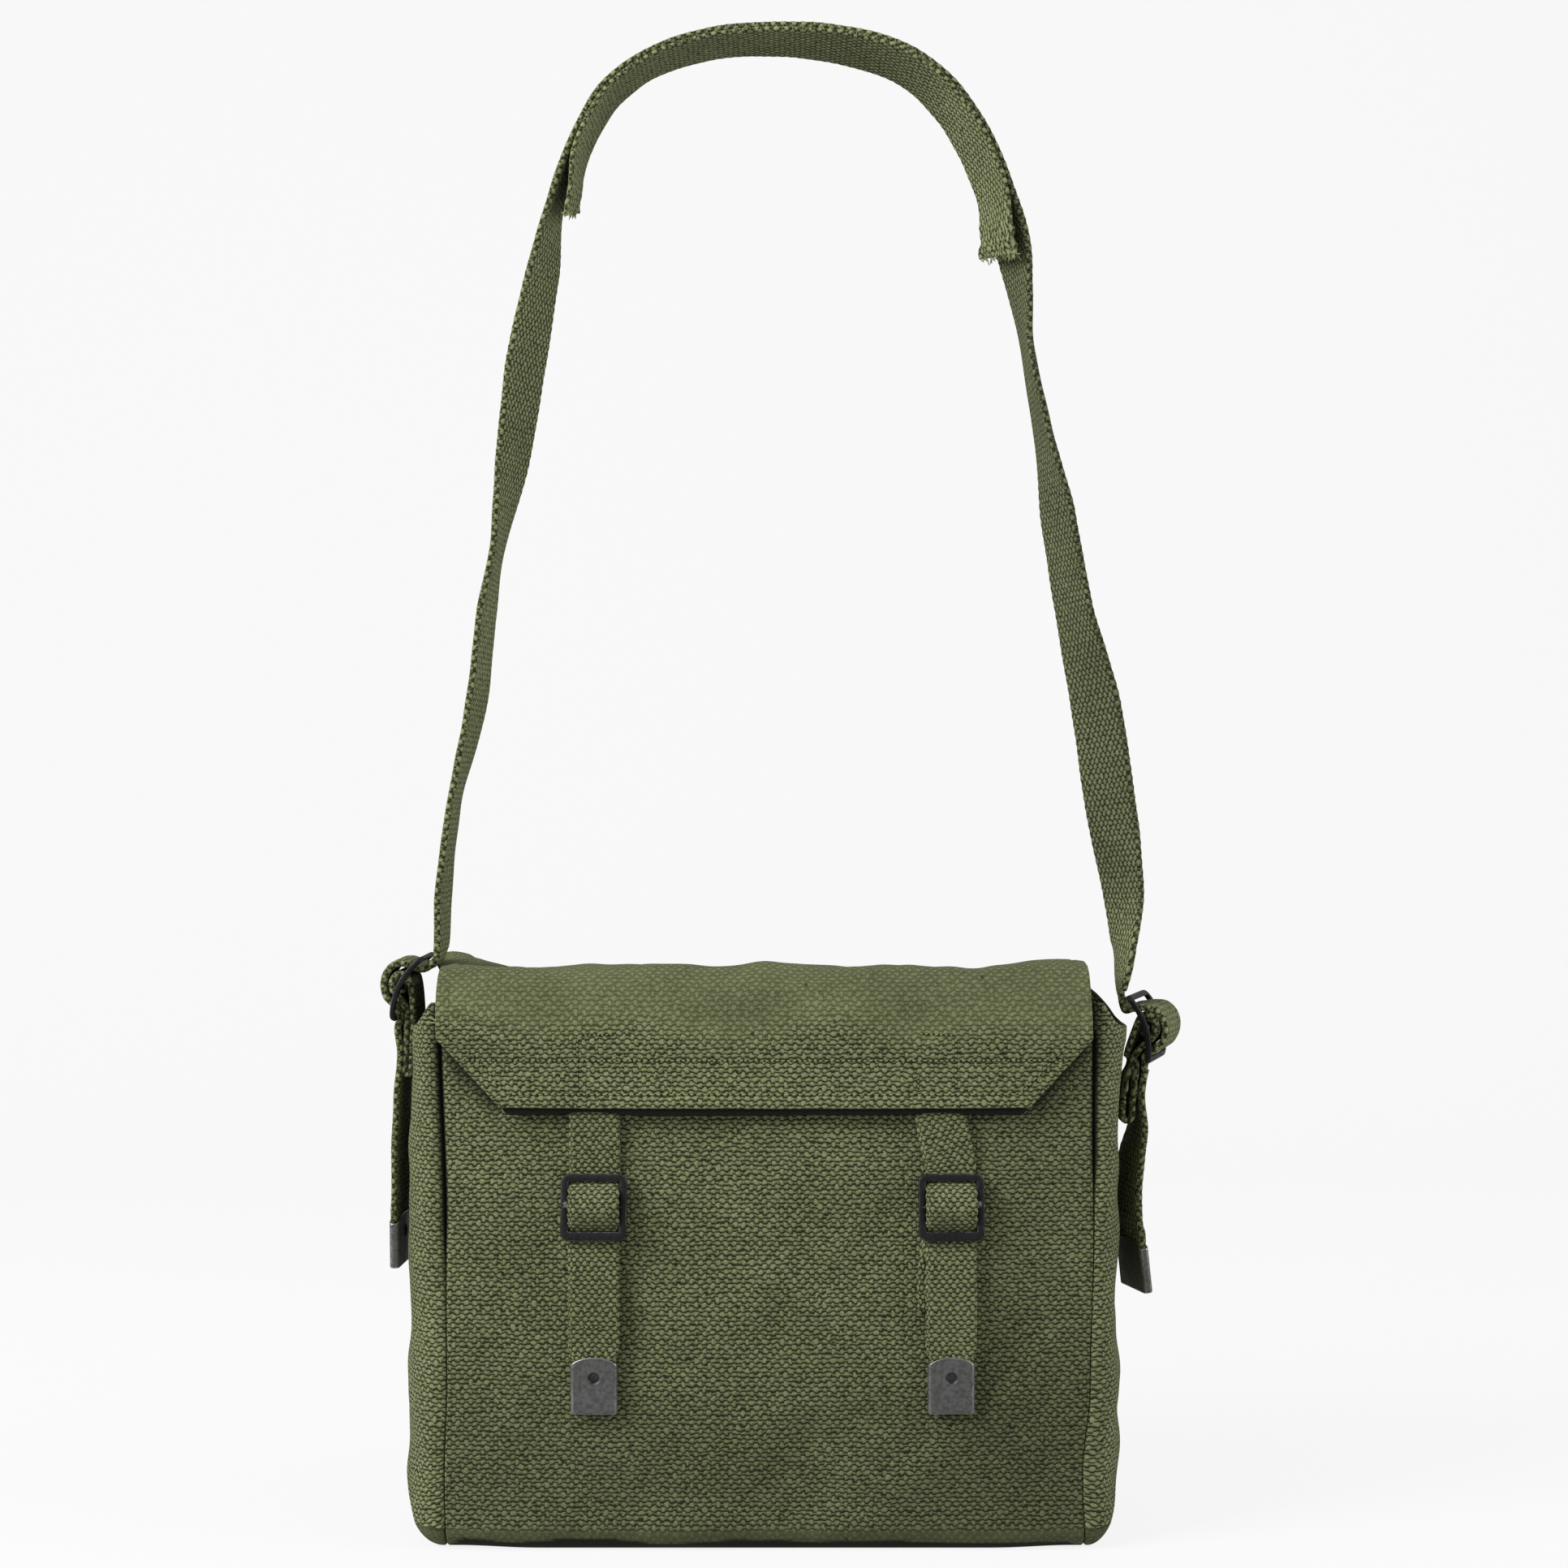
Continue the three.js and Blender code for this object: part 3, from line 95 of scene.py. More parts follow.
# A mesh object from points in millimetres, faces, and for each face corner where it lies in the weave.
def makePiece(name, points, faces, corners, material, replaced=(), smooth=True, weld=False, marks=None):
    mesh = bpy.data.meshes.new(name)
    placed = (np.asarray(points, float) - (0, 0, bag["hangHeight"])) / 1000
    mesh.from_pydata(placed.tolist(), [], [list(map(int, f)) for f in faces])
    if corners is not None:
        layer = mesh.uv_layers.new(name="weave")
        layer.data.foreach_set("uv", (np.concatenate([np.ravel(c) for c in corners]) / 1000).astype(np.float32))
    for key, values in (marks or {}).items():
        mesh.attributes.new(key, "FLOAT", "POINT").data.foreach_set("value", np.asarray(values, np.float32))
    work = bmesh.new()
    work.from_mesh(mesh)
    if weld:
        bmesh.ops.remove_doubles(work, verts=work.verts, dist=2e-6)
        bmesh.ops.dissolve_degenerate(work, edges=work.edges, dist=1e-6)
    bmesh.ops.recalc_face_normals(work, faces=work.faces)
    work.to_mesh(mesh)
    work.free()
    if smooth:
        mesh.shade_smooth()
    mesh.materials.append(material)
    piece = bpy.data.objects.new(name, mesh)
    scene.collection.objects.link(piece)
    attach(piece, "root")
    if replaced:
        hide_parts(*replaced)
    return piece


# Quads of a grid of rows by columns whose first point is number start, with the weave's place at each corner.
def gridQuads(rows, columns, start=0, weave=None, flip=False):
    i, j = np.meshgrid(np.arange(rows - 1), np.arange(columns - 1), indexing="ij")
    a = (i * columns + j).ravel()
    quads = np.stack([a, a + 1, a + columns + 1, a + columns], 1)
    if flip:
        quads = quads[:, ::-1]
    corners = None if weave is None else weave.reshape(-1, 2)[quads]
    return quads + start, corners


# A sheet of cloth with rounded rims. Outer points and facings are grids of rows by columns.
def clothShell(outer, facing, thickness, weave, rims=("first", "last", "start", "end"), rimSteps=4, marks=None):
    rows, columns = outer.shape[:2]
    thick = thickness if np.ndim(thickness) == 0 else thickness[..., None]
    inner = outer - facing * thick
    points = [outer.reshape(-1, 3), inner.reshape(-1, 3)]
    count = rows * columns
    outerQuads, outerCorners = gridQuads(rows, columns, 0, weave)
    innerQuads, innerCorners = gridQuads(rows, columns, count, weave, flip=True)
    faces = [outerQuads, innerQuads]
    corners = [outerCorners, innerCorners]
    start = 2 * count
    marked = {key: [np.ravel(values)] * 2 for key, values in (marks or {}).items()}
    lines = {
        "first": ([(0, j) for j in range(columns)], (1, 0)),
        "last": ([(rows - 1, j) for j in range(columns)], (-1, 0)),
        "start": ([(i, 0) for i in range(rows)], (0, 1)),
        "end": ([(i, columns - 1) for i in range(rows)], (0, -1)),
    }
    for rim in rims:
        cells, (di, dj) = lines[rim]
        at = np.array(cells)
        out = outer[at[:, 0], at[:, 1]]
        into = outer[at[:, 0] + di, at[:, 1] + dj]
        normal = facing[at[:, 0], at[:, 1]]
        low = inner[at[:, 0], at[:, 1]]
        edge = out - into
        edge = unit(edge - normal * np.sum(edge * normal, -1, keepdims=True))
        middle = (out + low) / 2
        half = np.linalg.norm(out - low, axis=-1, keepdims=True) / 2
        place = weave[at[:, 0], at[:, 1]]
        inward = weave[at[:, 0] + di, at[:, 1] + dj]
        away = unit(place - inward)
        ring = [at[:, 0] * columns + at[:, 1]]
        spots = [place]
        for k in range(1, rimSteps):
            turn = math.pi * k / rimSteps
            points.append(middle + half * (normal * math.cos(turn) + edge * math.sin(turn)))
            ring.append(start + np.arange(len(cells)))
            spots.append(place + away * half * turn)
            start += len(cells)
            for key, values in (marks or {}).items():
                marked[key].append(values[at[:, 0], at[:, 1]])
        ring.append(count + at[:, 0] * columns + at[:, 1])
        spots.append(place + away * half * math.pi)
        for k in range(rimSteps):
            a, b = ring[k], ring[k + 1]
            faces.append(np.stack([a[:-1], a[1:], b[1:], b[:-1]], 1))
            corners.append(np.stack([spots[k][:-1], spots[k][1:], spots[k + 1][1:], spots[k + 1][:-1]], 1))
    marked = {key: np.concatenate(values) for key, values in marked.items()}
    return np.concatenate(points), np.concatenate(faces), np.concatenate(corners), marked


# Points on a smooth curve through control points, as the solids' curves run.
def curveThrough(controls, perSpan):
    p = np.asarray(controls, float)
    p = np.vstack([2 * p[0] - p[1], p, 2 * p[-1] - p[-2]])
    share = np.arange(perSpan)[:, None] / perSpan
    made = []
    for i in range(len(p) - 3):
        p0, p1, p2, p3 = p[i:i + 4]
        d0, d1, d2 = (np.sum((b - a) ** 2) ** 0.25 for a, b in ((p0, p1), (p1, p2), (p2, p3)))
        d1 = d1 if d1 >= 1e-4 else 1.0
        d0 = d0 if d0 >= 1e-4 else d1
        d2 = d2 if d2 >= 1e-4 else d1
        t1 = ((p1 - p0) / d0 - (p2 - p0) / (d0 + d1) + (p2 - p1) / d1) * d1
        t2 = ((p2 - p1) / d1 - (p3 - p1) / (d1 + d2) + (p3 - p2) / d2) * d1
        made.append(p1 + t1 * share + (3 * (p2 - p1) - 2 * t1 - t2) * share ** 2
                    + (2 * (p1 - p2) + t1 + t2) * share ** 3)
    return np.vstack(made + [p[-2:-1]])


# Even sections along controls, each a middle, the way across and a width.
def evenSections(controls, spacing, perSpan=24):
    middles = curveThrough([c[0] for c in controls], perSpan)
    ways = unit(curveThrough([c[1] for c in controls], perSpan))
    widths = np.interp(np.arange(len(middles)) / perSpan, np.arange(len(controls)), [c[2] for c in controls])
    run = np.concatenate([[0], np.cumsum(np.linalg.norm(np.diff(middles, axis=0), axis=1))])
    at = np.linspace(0, run[-1], max(8, int(run[-1] / spacing)) + 1)
    pick = lambda values: np.stack([np.interp(at, run, values[:, k]) for k in range(values.shape[1])], 1)
    return pick(middles), unit(pick(ways)), np.interp(at, run, widths), at


def bandFrame(middles, ways):
    along = unit(np.gradient(middles, axis=0))
    side = unit(ways - along * np.sum(ways * along, -1, keepdims=True))
    return along, side, np.cross(along, side)


# Webbing along sections: flat faces, round woven edges whose beads show as bumps.
def webbingBand(middles, ways, widths, run, thickness, bead=0.35, beadPitch=5.0, flats=9, arcs=7, ridge=0.0):
    along, side, face = bandFrame(middles, ways)
    half = thickness / 2
    turns = np.linspace(math.pi / 2, -math.pi / 2, arcs)
    # One loop round the section: each point's side share, its reach past the flat part, and its height
    loop = [(t, 0.0, 1.0) for t in np.linspace(-1, 1, flats)[:-1]]
    loop += [(1.0, math.cos(a), math.sin(a)) for a in turns]
    loop += [(t, 0.0, -1.0) for t in np.linspace(1, -1, flats)[1:-1]]
    loop += [(-1.0, -math.cos(a), -math.sin(a)) for a in turns]
    loop = np.array(loop)
    sizes = len(loop)
    flat = widths / 2 - half
    beadLeft = bead * (0.5 + 0.5 * np.cos(2 * math.pi * run / beadPitch))
    beadRight = bead * (0.5 + 0.5 * np.cos(2 * math.pi * run / beadPitch + math.pi * 0.8))
    edge = np.abs(loop[:, 1])
    onLeft = loop[:, 1] < 0
    lift = np.where(onLeft[None, :], beadLeft[:, None], beadRight[:, None]) * np.sqrt(edge)[None, :] - bead * 0.5 * edge[None, :]
    wobble = ripples(run[:, None], loop[None, :, 0] * 30.0, 26, sizes) * ridge
    s = flat[:, None] * loop[None, :, 0] + (half + lift) * loop[None, :, 1]
    f = (half + lift * edge[None, :] * 0.6) * loop[None, :, 2] + wobble
    points = middles[:, None, :] + side[:, None, :] * s[..., None] + face[:, None, :] * f[..., None]
    count = len(middles)
    place = np.concatenate([loop, loop[:1]])
    step = np.hypot(np.diff(place[:, 0]) * np.median(flat) + np.diff(place[:, 1]) * half, np.diff(place[:, 2]) * half)
    around = np.concatenate([[0], np.cumsum(step)])
    weave = np.stack(np.broadcast_arrays(around[None, :], run[:, None]), -1).reshape(-1, 2)
    i, j = np.meshgrid(np.arange(count - 1), np.arange(sizes), indexing="ij")
    i, j = i.ravel(), j.ravel()
    k = (j + 1) % sizes
    faces = np.stack([i * sizes + j, i * sizes + k, (i + 1) * sizes + k, (i + 1) * sizes + j], 1)
    wide = sizes + 1
    corners = np.stack([weave[i * wide + j], weave[i * wide + j + 1], weave[(i + 1) * wide + j + 1], weave[(i + 1) * wide + j]], 1)
    groove = np.where(onLeft[None, :], 1 - beadLeft[:, None] / max(bead, 1e-6), 1 - beadRight[:, None] / max(bead, 1e-6))
    groove = (groove * np.sqrt(edge)[None, :]).ravel()
    edgeMark = np.broadcast_to(np.sqrt(edge)[None, :], (count, sizes)).ravel()
    capA = list(range(sizes))
    capB = list(range((count - 1) * sizes, count * sizes))[::-1]
    faceList = faces.tolist() + [capA, capB]
    cornerList = [corners.reshape(-1), np.zeros(2 * sizes), np.zeros(2 * sizes)]
    return points.reshape(-1, 3), faceList, cornerList, {"groove": groove, "selvage": edgeMark}


def newGroup(name, inputs, outputs):
    tree = bpy.data.node_groups.new(name, "ShaderNodeTree")
    for label, kind, value in inputs:
        socket = tree.interface.new_socket(name=label, in_out="INPUT", socket_type=kind)
        if value is not None:
            socket.default_value = value
    for label, kind in outputs:
        tree.interface.new_socket(name=label, in_out="OUTPUT", socket_type=kind)
    return tree, tree.nodes.new("NodeGroupInput"), tree.nodes.new("NodeGroupOutput")


def feed(tree, socket, value):
    if isinstance(value, bpy.types.NodeSocket):
        tree.links.new(value, socket)
    elif value is not None:
        socket.default_value = value


def calc(tree, operation, a, b=None, c=None, clamp=False):
    node = tree.nodes.new("ShaderNodeMath")
    node.operation = operation
    node.use_clamp = clamp
    for socket, value in zip(node.inputs, (a, b, c)):
        feed(tree, socket, value)
    return node.outputs[0]


def vecCalc(tree, operation, a, b=None, scale=None):
    node = tree.nodes.new("ShaderNodeVectorMath")
    node.operation = operation
    feed(tree, node.inputs[0], a)
    feed(tree, node.inputs[1], b)
    if scale is not None:
        feed(tree, node.inputs["Scale"], scale)
    return node.outputs["Value"] if operation in ("LENGTH", "DISTANCE", "DOT_PRODUCT") else node.outputs[0]


def remap(tree, value, low, high, toLow=0.0, toHigh=1.0, kind="SMOOTHSTEP"):
    node = tree.nodes.new("ShaderNodeMapRange")
    node.interpolation_type = kind
    for label, v in (("Value", value), ("From Min", low), ("From Max", high), ("To Min", toLow), ("To Max", toHigh)):
        feed(tree, node.inputs[label], v)
    return node.outputs["Result"]


def noiseAt(tree, vector, scale, detail=2.0, rough=0.5, colour=False):
    node = tree.nodes.new("ShaderNodeTexNoise")
    feed(tree, node.inputs["Vector"], vector)
    feed(tree, node.inputs["Scale"], scale)
    feed(tree, node.inputs["Detail"], detail)
    feed(tree, node.inputs["Roughness"], rough)
    return node.outputs["Color"] if colour else node.outputs["Fac"]


def blendColour(tree, share, a, b, kind="MIX"):
    node = tree.nodes.new("ShaderNodeMix")
    node.data_type = "RGBA"
    node.blend_type = kind
    feed(tree, node.inputs["Factor"], share)
    feed(tree, node.inputs[6], a)
    feed(tree, node.inputs[7], b)
    return node.outputs[2]


def joined(tree, x, y, z=0.0):
    node = tree.nodes.new("ShaderNodeCombineXYZ")
    for socket, value in zip(node.inputs, (x, y, z)):
        feed(tree, socket, value)
    return node.outputs[0]


# Tubes along lines of points, all in one mesh, with pointed ends.
def makeThreads(name, lines, radius, material, sides=6):
    points, faces = [], []
    for line in lines:
        line = np.asarray(line, float)
        along = unit(np.gradient(line, axis=0))
        across = unit(np.cross(along, (0.31, 0.17, 0.93)))
        other = np.cross(along, across)
        thick = radius * np.where(np.isin(np.arange(len(line)), (0, len(line) - 1)), 0.55, 1.0)
        start = len(points)
        for k in range(len(line)):
            for a in np.linspace(0, 2 * math.pi, sides, endpoint=False):
                points.append(line[k] + thick[k] * (across[k] * math.cos(a) + other[k] * math.sin(a)))
        for k in range(len(line) - 1):
            for j in range(sides):
                a, b = start + k * sides + j, start + k * sides + (j + 1) % sides
                faces.append([a, b, b + sides, a + sides])
        faces.append([start + j for j in range(sides)][::-1])
        faces.append([start + (len(line) - 1) * sides + j for j in range(sides)])
    return makePiece(name, np.array(points), faces, None, material)


# Short arched stitches along a line on cloth, and near-black tubes between them that paint the shade in the stitch
# holes. Normals face out of the cloth.
def stitchesAlong(line, normals, pitch, gap, seed):
    dice = np.random.default_rng(seed)
    line, normals = np.asarray(line, float), np.asarray(normals, float)
    run = np.concatenate([[0], np.cumsum(np.linalg.norm(np.diff(line, axis=0), axis=1))])
    spot = lambda at: np.array([np.interp(at, run, line[:, k]) for k in range(3)])
    out = lambda at: np.array([np.interp(at, run, normals[:, k]) for k in range(3)])
    threads, holes = [], []
    at = pitch * dice.uniform(0, 0.5)
    while at + pitch < run[-1]:
        length = pitch * (1 - gap) * dice.uniform(0.8, 1.1)
        threads.append([spot(at + length * t) + out(at) * lift for t, lift in ((0, -0.1), (0.3, 0.2), (0.7, 0.2), (1, -0.1))])
        hole = at + length + pitch * gap * 0.5
        holes.append([spot(hole - 0.32) + out(hole) * 0.02, spot(hole) + out(hole) * 0.1, spot(hole + 0.32) + out(hole) * 0.02])
        at += pitch * dice.uniform(0.85, 1.15)
    return threads, holes


# Plain weave seen as rows: each row swells to a bead where a warp yarn crosses over it and thins to a
# dash between, next rows are staggered, and what neither covers is a pit, whose darkness the cloth paints as shade.
def makeWeaveGroup():
    tree, given, out = newGroup(
        "plainWeave",
        [("Place", "NodeSocketVector", None), ("Pitch", "NodeSocketFloat", 0.004), ("Row", "NodeSocketFloat", 0.0023),
         ("Wander", "NodeSocketFloat", 0.0012), ("Wide", "NodeSocketFloat", 0.3), ("Tall", "NodeSocketFloat", 0.62),
         ("Dash", "NodeSocketFloat", 0.16), ("Slub", "NodeSocketFloat", 0.5)],
        [("Height", "NodeSocketFloat"), ("Pit", "NodeSocketFloat"), ("Yarn", "NodeSocketFloat"), ("Top", "NodeSocketFloat")])
    place, wander, slub = given.outputs["Place"], given.outputs["Wander"], given.outputs["Slub"]
    drift = vecCalc(tree, "SUBTRACT", noiseAt(tree, place, 75, 2, 0.5, colour=True), (0.5, 0.5, 0.5))
    fine = vecCalc(tree, "SUBTRACT", noiseAt(tree, place, 330, 1, 0.5, colour=True), (0.5, 0.5, 0.5))
    moved = vecCalc(tree, "ADD", place, vecCalc(tree, "SCALE", drift, scale=wander))
    moved = vecCalc(tree, "ADD", moved, vecCalc(tree, "SCALE", fine, scale=calc(tree, "MULTIPLY", wander, 1.5)))
    split = tree.nodes.new("ShaderNodeSeparateXYZ")
    feed(tree, split.inputs[0], moved)
    across = calc(tree, "DIVIDE", split.outputs["X"], given.outputs["Pitch"])
    down = calc(tree, "DIVIDE", split.outputs["Y"], given.outputs["Row"])
    pairs = calc(tree, "MULTIPLY", down, 0.5)
    # each bead and each thread between beads has a size of its own
    own = noiseAt(tree, joined(tree, calc(tree, "MULTIPLY", across, 1.7), calc(tree, "MULTIPLY", down, 0.85)), 1.0, 1, 0.5)
    weft = noiseAt(tree, joined(tree, calc(tree, "MULTIPLY", across, 0.6), calc(tree, "MULTIPLY", down, 1.1), 9.0), 1.0, 2, 0.6)
    size = calc(tree, "ADD", 1.0, calc(tree, "MULTIPLY", calc(tree, "SUBTRACT", own, 0.5), slub))
    wide = calc(tree, "MULTIPLY", given.outputs["Wide"], size)
    tall = calc(tree, "MULTIPLY", given.outputs["Tall"], size)
    domes, offs = [], []
    # beads stand in every second place of a row, and the next row's beads between them
    for start in (0.5, 0.0):
        aside = calc(tree, "ABSOLUTE", calc(tree, "SUBTRACT", calc(tree, "FRACT", calc(tree, "ADD", across, start)), 0.5))
        off = calc(tree, "MULTIPLY", calc(tree, "ABSOLUTE", calc(tree, "SUBTRACT", calc(tree, "FRACT", calc(tree, "ADD", pairs, start)), 0.5)), 2.0)
        aside, up = calc(tree, "DIVIDE", aside, wide), calc(tree, "DIVIDE", off, tall)
        domes.append(calc(tree, "SUBTRACT", 1.0, calc(tree, "ADD", calc(tree, "POWER", aside, 2.6), calc(tree, "POWER", up, 2.6))))
        offs.append(off)
    bead = calc(tree, "POWER", calc(tree, "MAXIMUM", calc(tree, "MAXIMUM", domes[0], domes[1]), 0.0), 0.5)
    thin = calc(tree, "MULTIPLY", given.outputs["Dash"], calc(tree, "ADD", 1.0, calc(tree, "MULTIPLY", calc(tree, "SUBTRACT", weft, 0.5), calc(tree, "MULTIPLY", slub, 2.0))))
    ratio = calc(tree, "DIVIDE", calc(tree, "MINIMUM", offs[0], offs[1]), calc(tree, "MAXIMUM", thin, 0.02))
    dash = calc(tree, "POWER", calc(tree, "MAXIMUM", calc(tree, "SUBTRACT", 1.0, calc(tree, "MULTIPLY", ratio, ratio)), 0.0), 0.5)
    height = calc(tree, "MAXIMUM", bead, calc(tree, "MULTIPLY", dash, 0.62))
    # fibres run along each bead
    fibre = noiseAt(tree, vecCalc(tree, "MULTIPLY", place, (1.0, 0.25, 1.0)), 2600, 1, 0.6)
    height = calc(tree, "ADD", height, calc(tree, "MULTIPLY", calc(tree, "SUBTRACT", fibre, 0.5), 0.45))
    tree.links.new(height, out.inputs["Height"])
    tree.links.new(remap(tree, height, 0.42, 0.04), out.inputs["Pit"])
    tree.links.new(calc(tree, "ADD", calc(tree, "MULTIPLY", own, 0.6), calc(tree, "MULTIPLY", weft, 0.4)), out.inputs["Yarn"])
    tree.links.new(remap(tree, height, 0.5, 1.05), out.inputs["Top"])
    return tree


# Dark specks where a weft shows through, and pale fibre ends, each on its own scattered places.
def makeFleckGroup():
    tree, given, out = newGroup(
        "flecks",
        [("Place", "NodeSocketVector", None), ("Spread", "NodeSocketFloat", 120.0), ("Share", "NodeSocketFloat", 0.2),
         ("Size", "NodeSocketFloat", 0.16)],
        [("Fleck", "NodeSocketFloat")])
    cells = tree.nodes.new("ShaderNodeTexVoronoi")
    feed(tree, cells.inputs["Vector"], given.outputs["Place"])
    feed(tree, cells.inputs["Scale"], given.outputs["Spread"])
    split = tree.nodes.new("ShaderNodeSeparateColor")
    feed(tree, split.inputs[0], cells.outputs["Color"])
    chosen = calc(tree, "LESS_THAN", split.outputs[0], given.outputs["Share"])
    near = remap(tree, cells.outputs["Distance"], given.outputs["Size"], calc(tree, "MULTIPLY", given.outputs["Size"], 0.4))
    tree.links.new(calc(tree, "MULTIPLY", chosen, near), out.inputs["Fleck"])
    return tree


# Edges marked in the mesh turn paler and barer, broken up by scratches: partly rubbed paint, partly painted highlight.
def makeWearAndHighlightGroup():
    tree, given, out = newGroup(
        "edgeWearAndHighlight",
        [("Place", "NodeSocketVector", None), ("Edge", "NodeSocketFloat", 0.0), ("Amount", "NodeSocketFloat", 0.5),
         ("Grain", "NodeSocketFloat", 900.0)],
        [("WearAndHighlight", "NodeSocketFloat"), ("Smudge", "NodeSocketFloat")])
    broken = noiseAt(tree, given.outputs["Place"], given.outputs["Grain"], 4, 0.65)
    broad = noiseAt(tree, given.outputs["Place"], calc(tree, "MULTIPLY", given.outputs["Grain"], 0.12), 2, 0.5)
    wearAndHighlight = calc(tree, "MULTIPLY", given.outputs["Edge"], calc(tree, "ADD", broken, calc(tree, "MULTIPLY", broad, 0.6)))
    wearAndHighlight = calc(tree, "MULTIPLY", wearAndHighlight, given.outputs["Amount"])
    tree.links.new(remap(tree, wearAndHighlight, 0.3, 0.62), out.inputs["WearAndHighlight"])
    tree.links.new(broad, out.inputs["Smudge"])
    return tree


weaveGroup, fleckGroup, wearAndHighlightGroup = makeWeaveGroup(), makeFleckGroup(), makeWearAndHighlightGroup()
print("node groups made")

canvasLook = {"dark": (0.010, 0.012, 0.003), "low": (0.104, 0.119, 0.050), "high": (0.268, 0.294, 0.144),
              "pitch": 0.0042, "row": 0.0023, "wander": 0.0017, "wide": 0.31, "tall": 0.55, "dash": 0.23, "slub": 0.7, "relief": 0.0009}
# the flap's canvas has more flecks, and its colour is painted lighter: painted light falling on it from above
flapLook = dict(canvasLook, low=(0.120, 0.135, 0.058), high=(0.290, 0.317, 0.157))
strapLook = {"dark": (0.010, 0.012, 0.003), "low": (0.119, 0.135, 0.057), "high": (0.318, 0.347, 0.172),
             "pitch": 0.0037, "row": 0.0027, "wander": 0.0013, "wide": 0.35, "tall": 0.60, "dash": 0.1, "slub": 0.5, "relief": 0.0011}
narrowLook = dict(strapLook, low=(0.100, 0.114, 0.047), high=(0.268, 0.292, 0.143), pitch=0.0036, row=0.0022, wide=0.33, tall=0.58, dash=0.17)


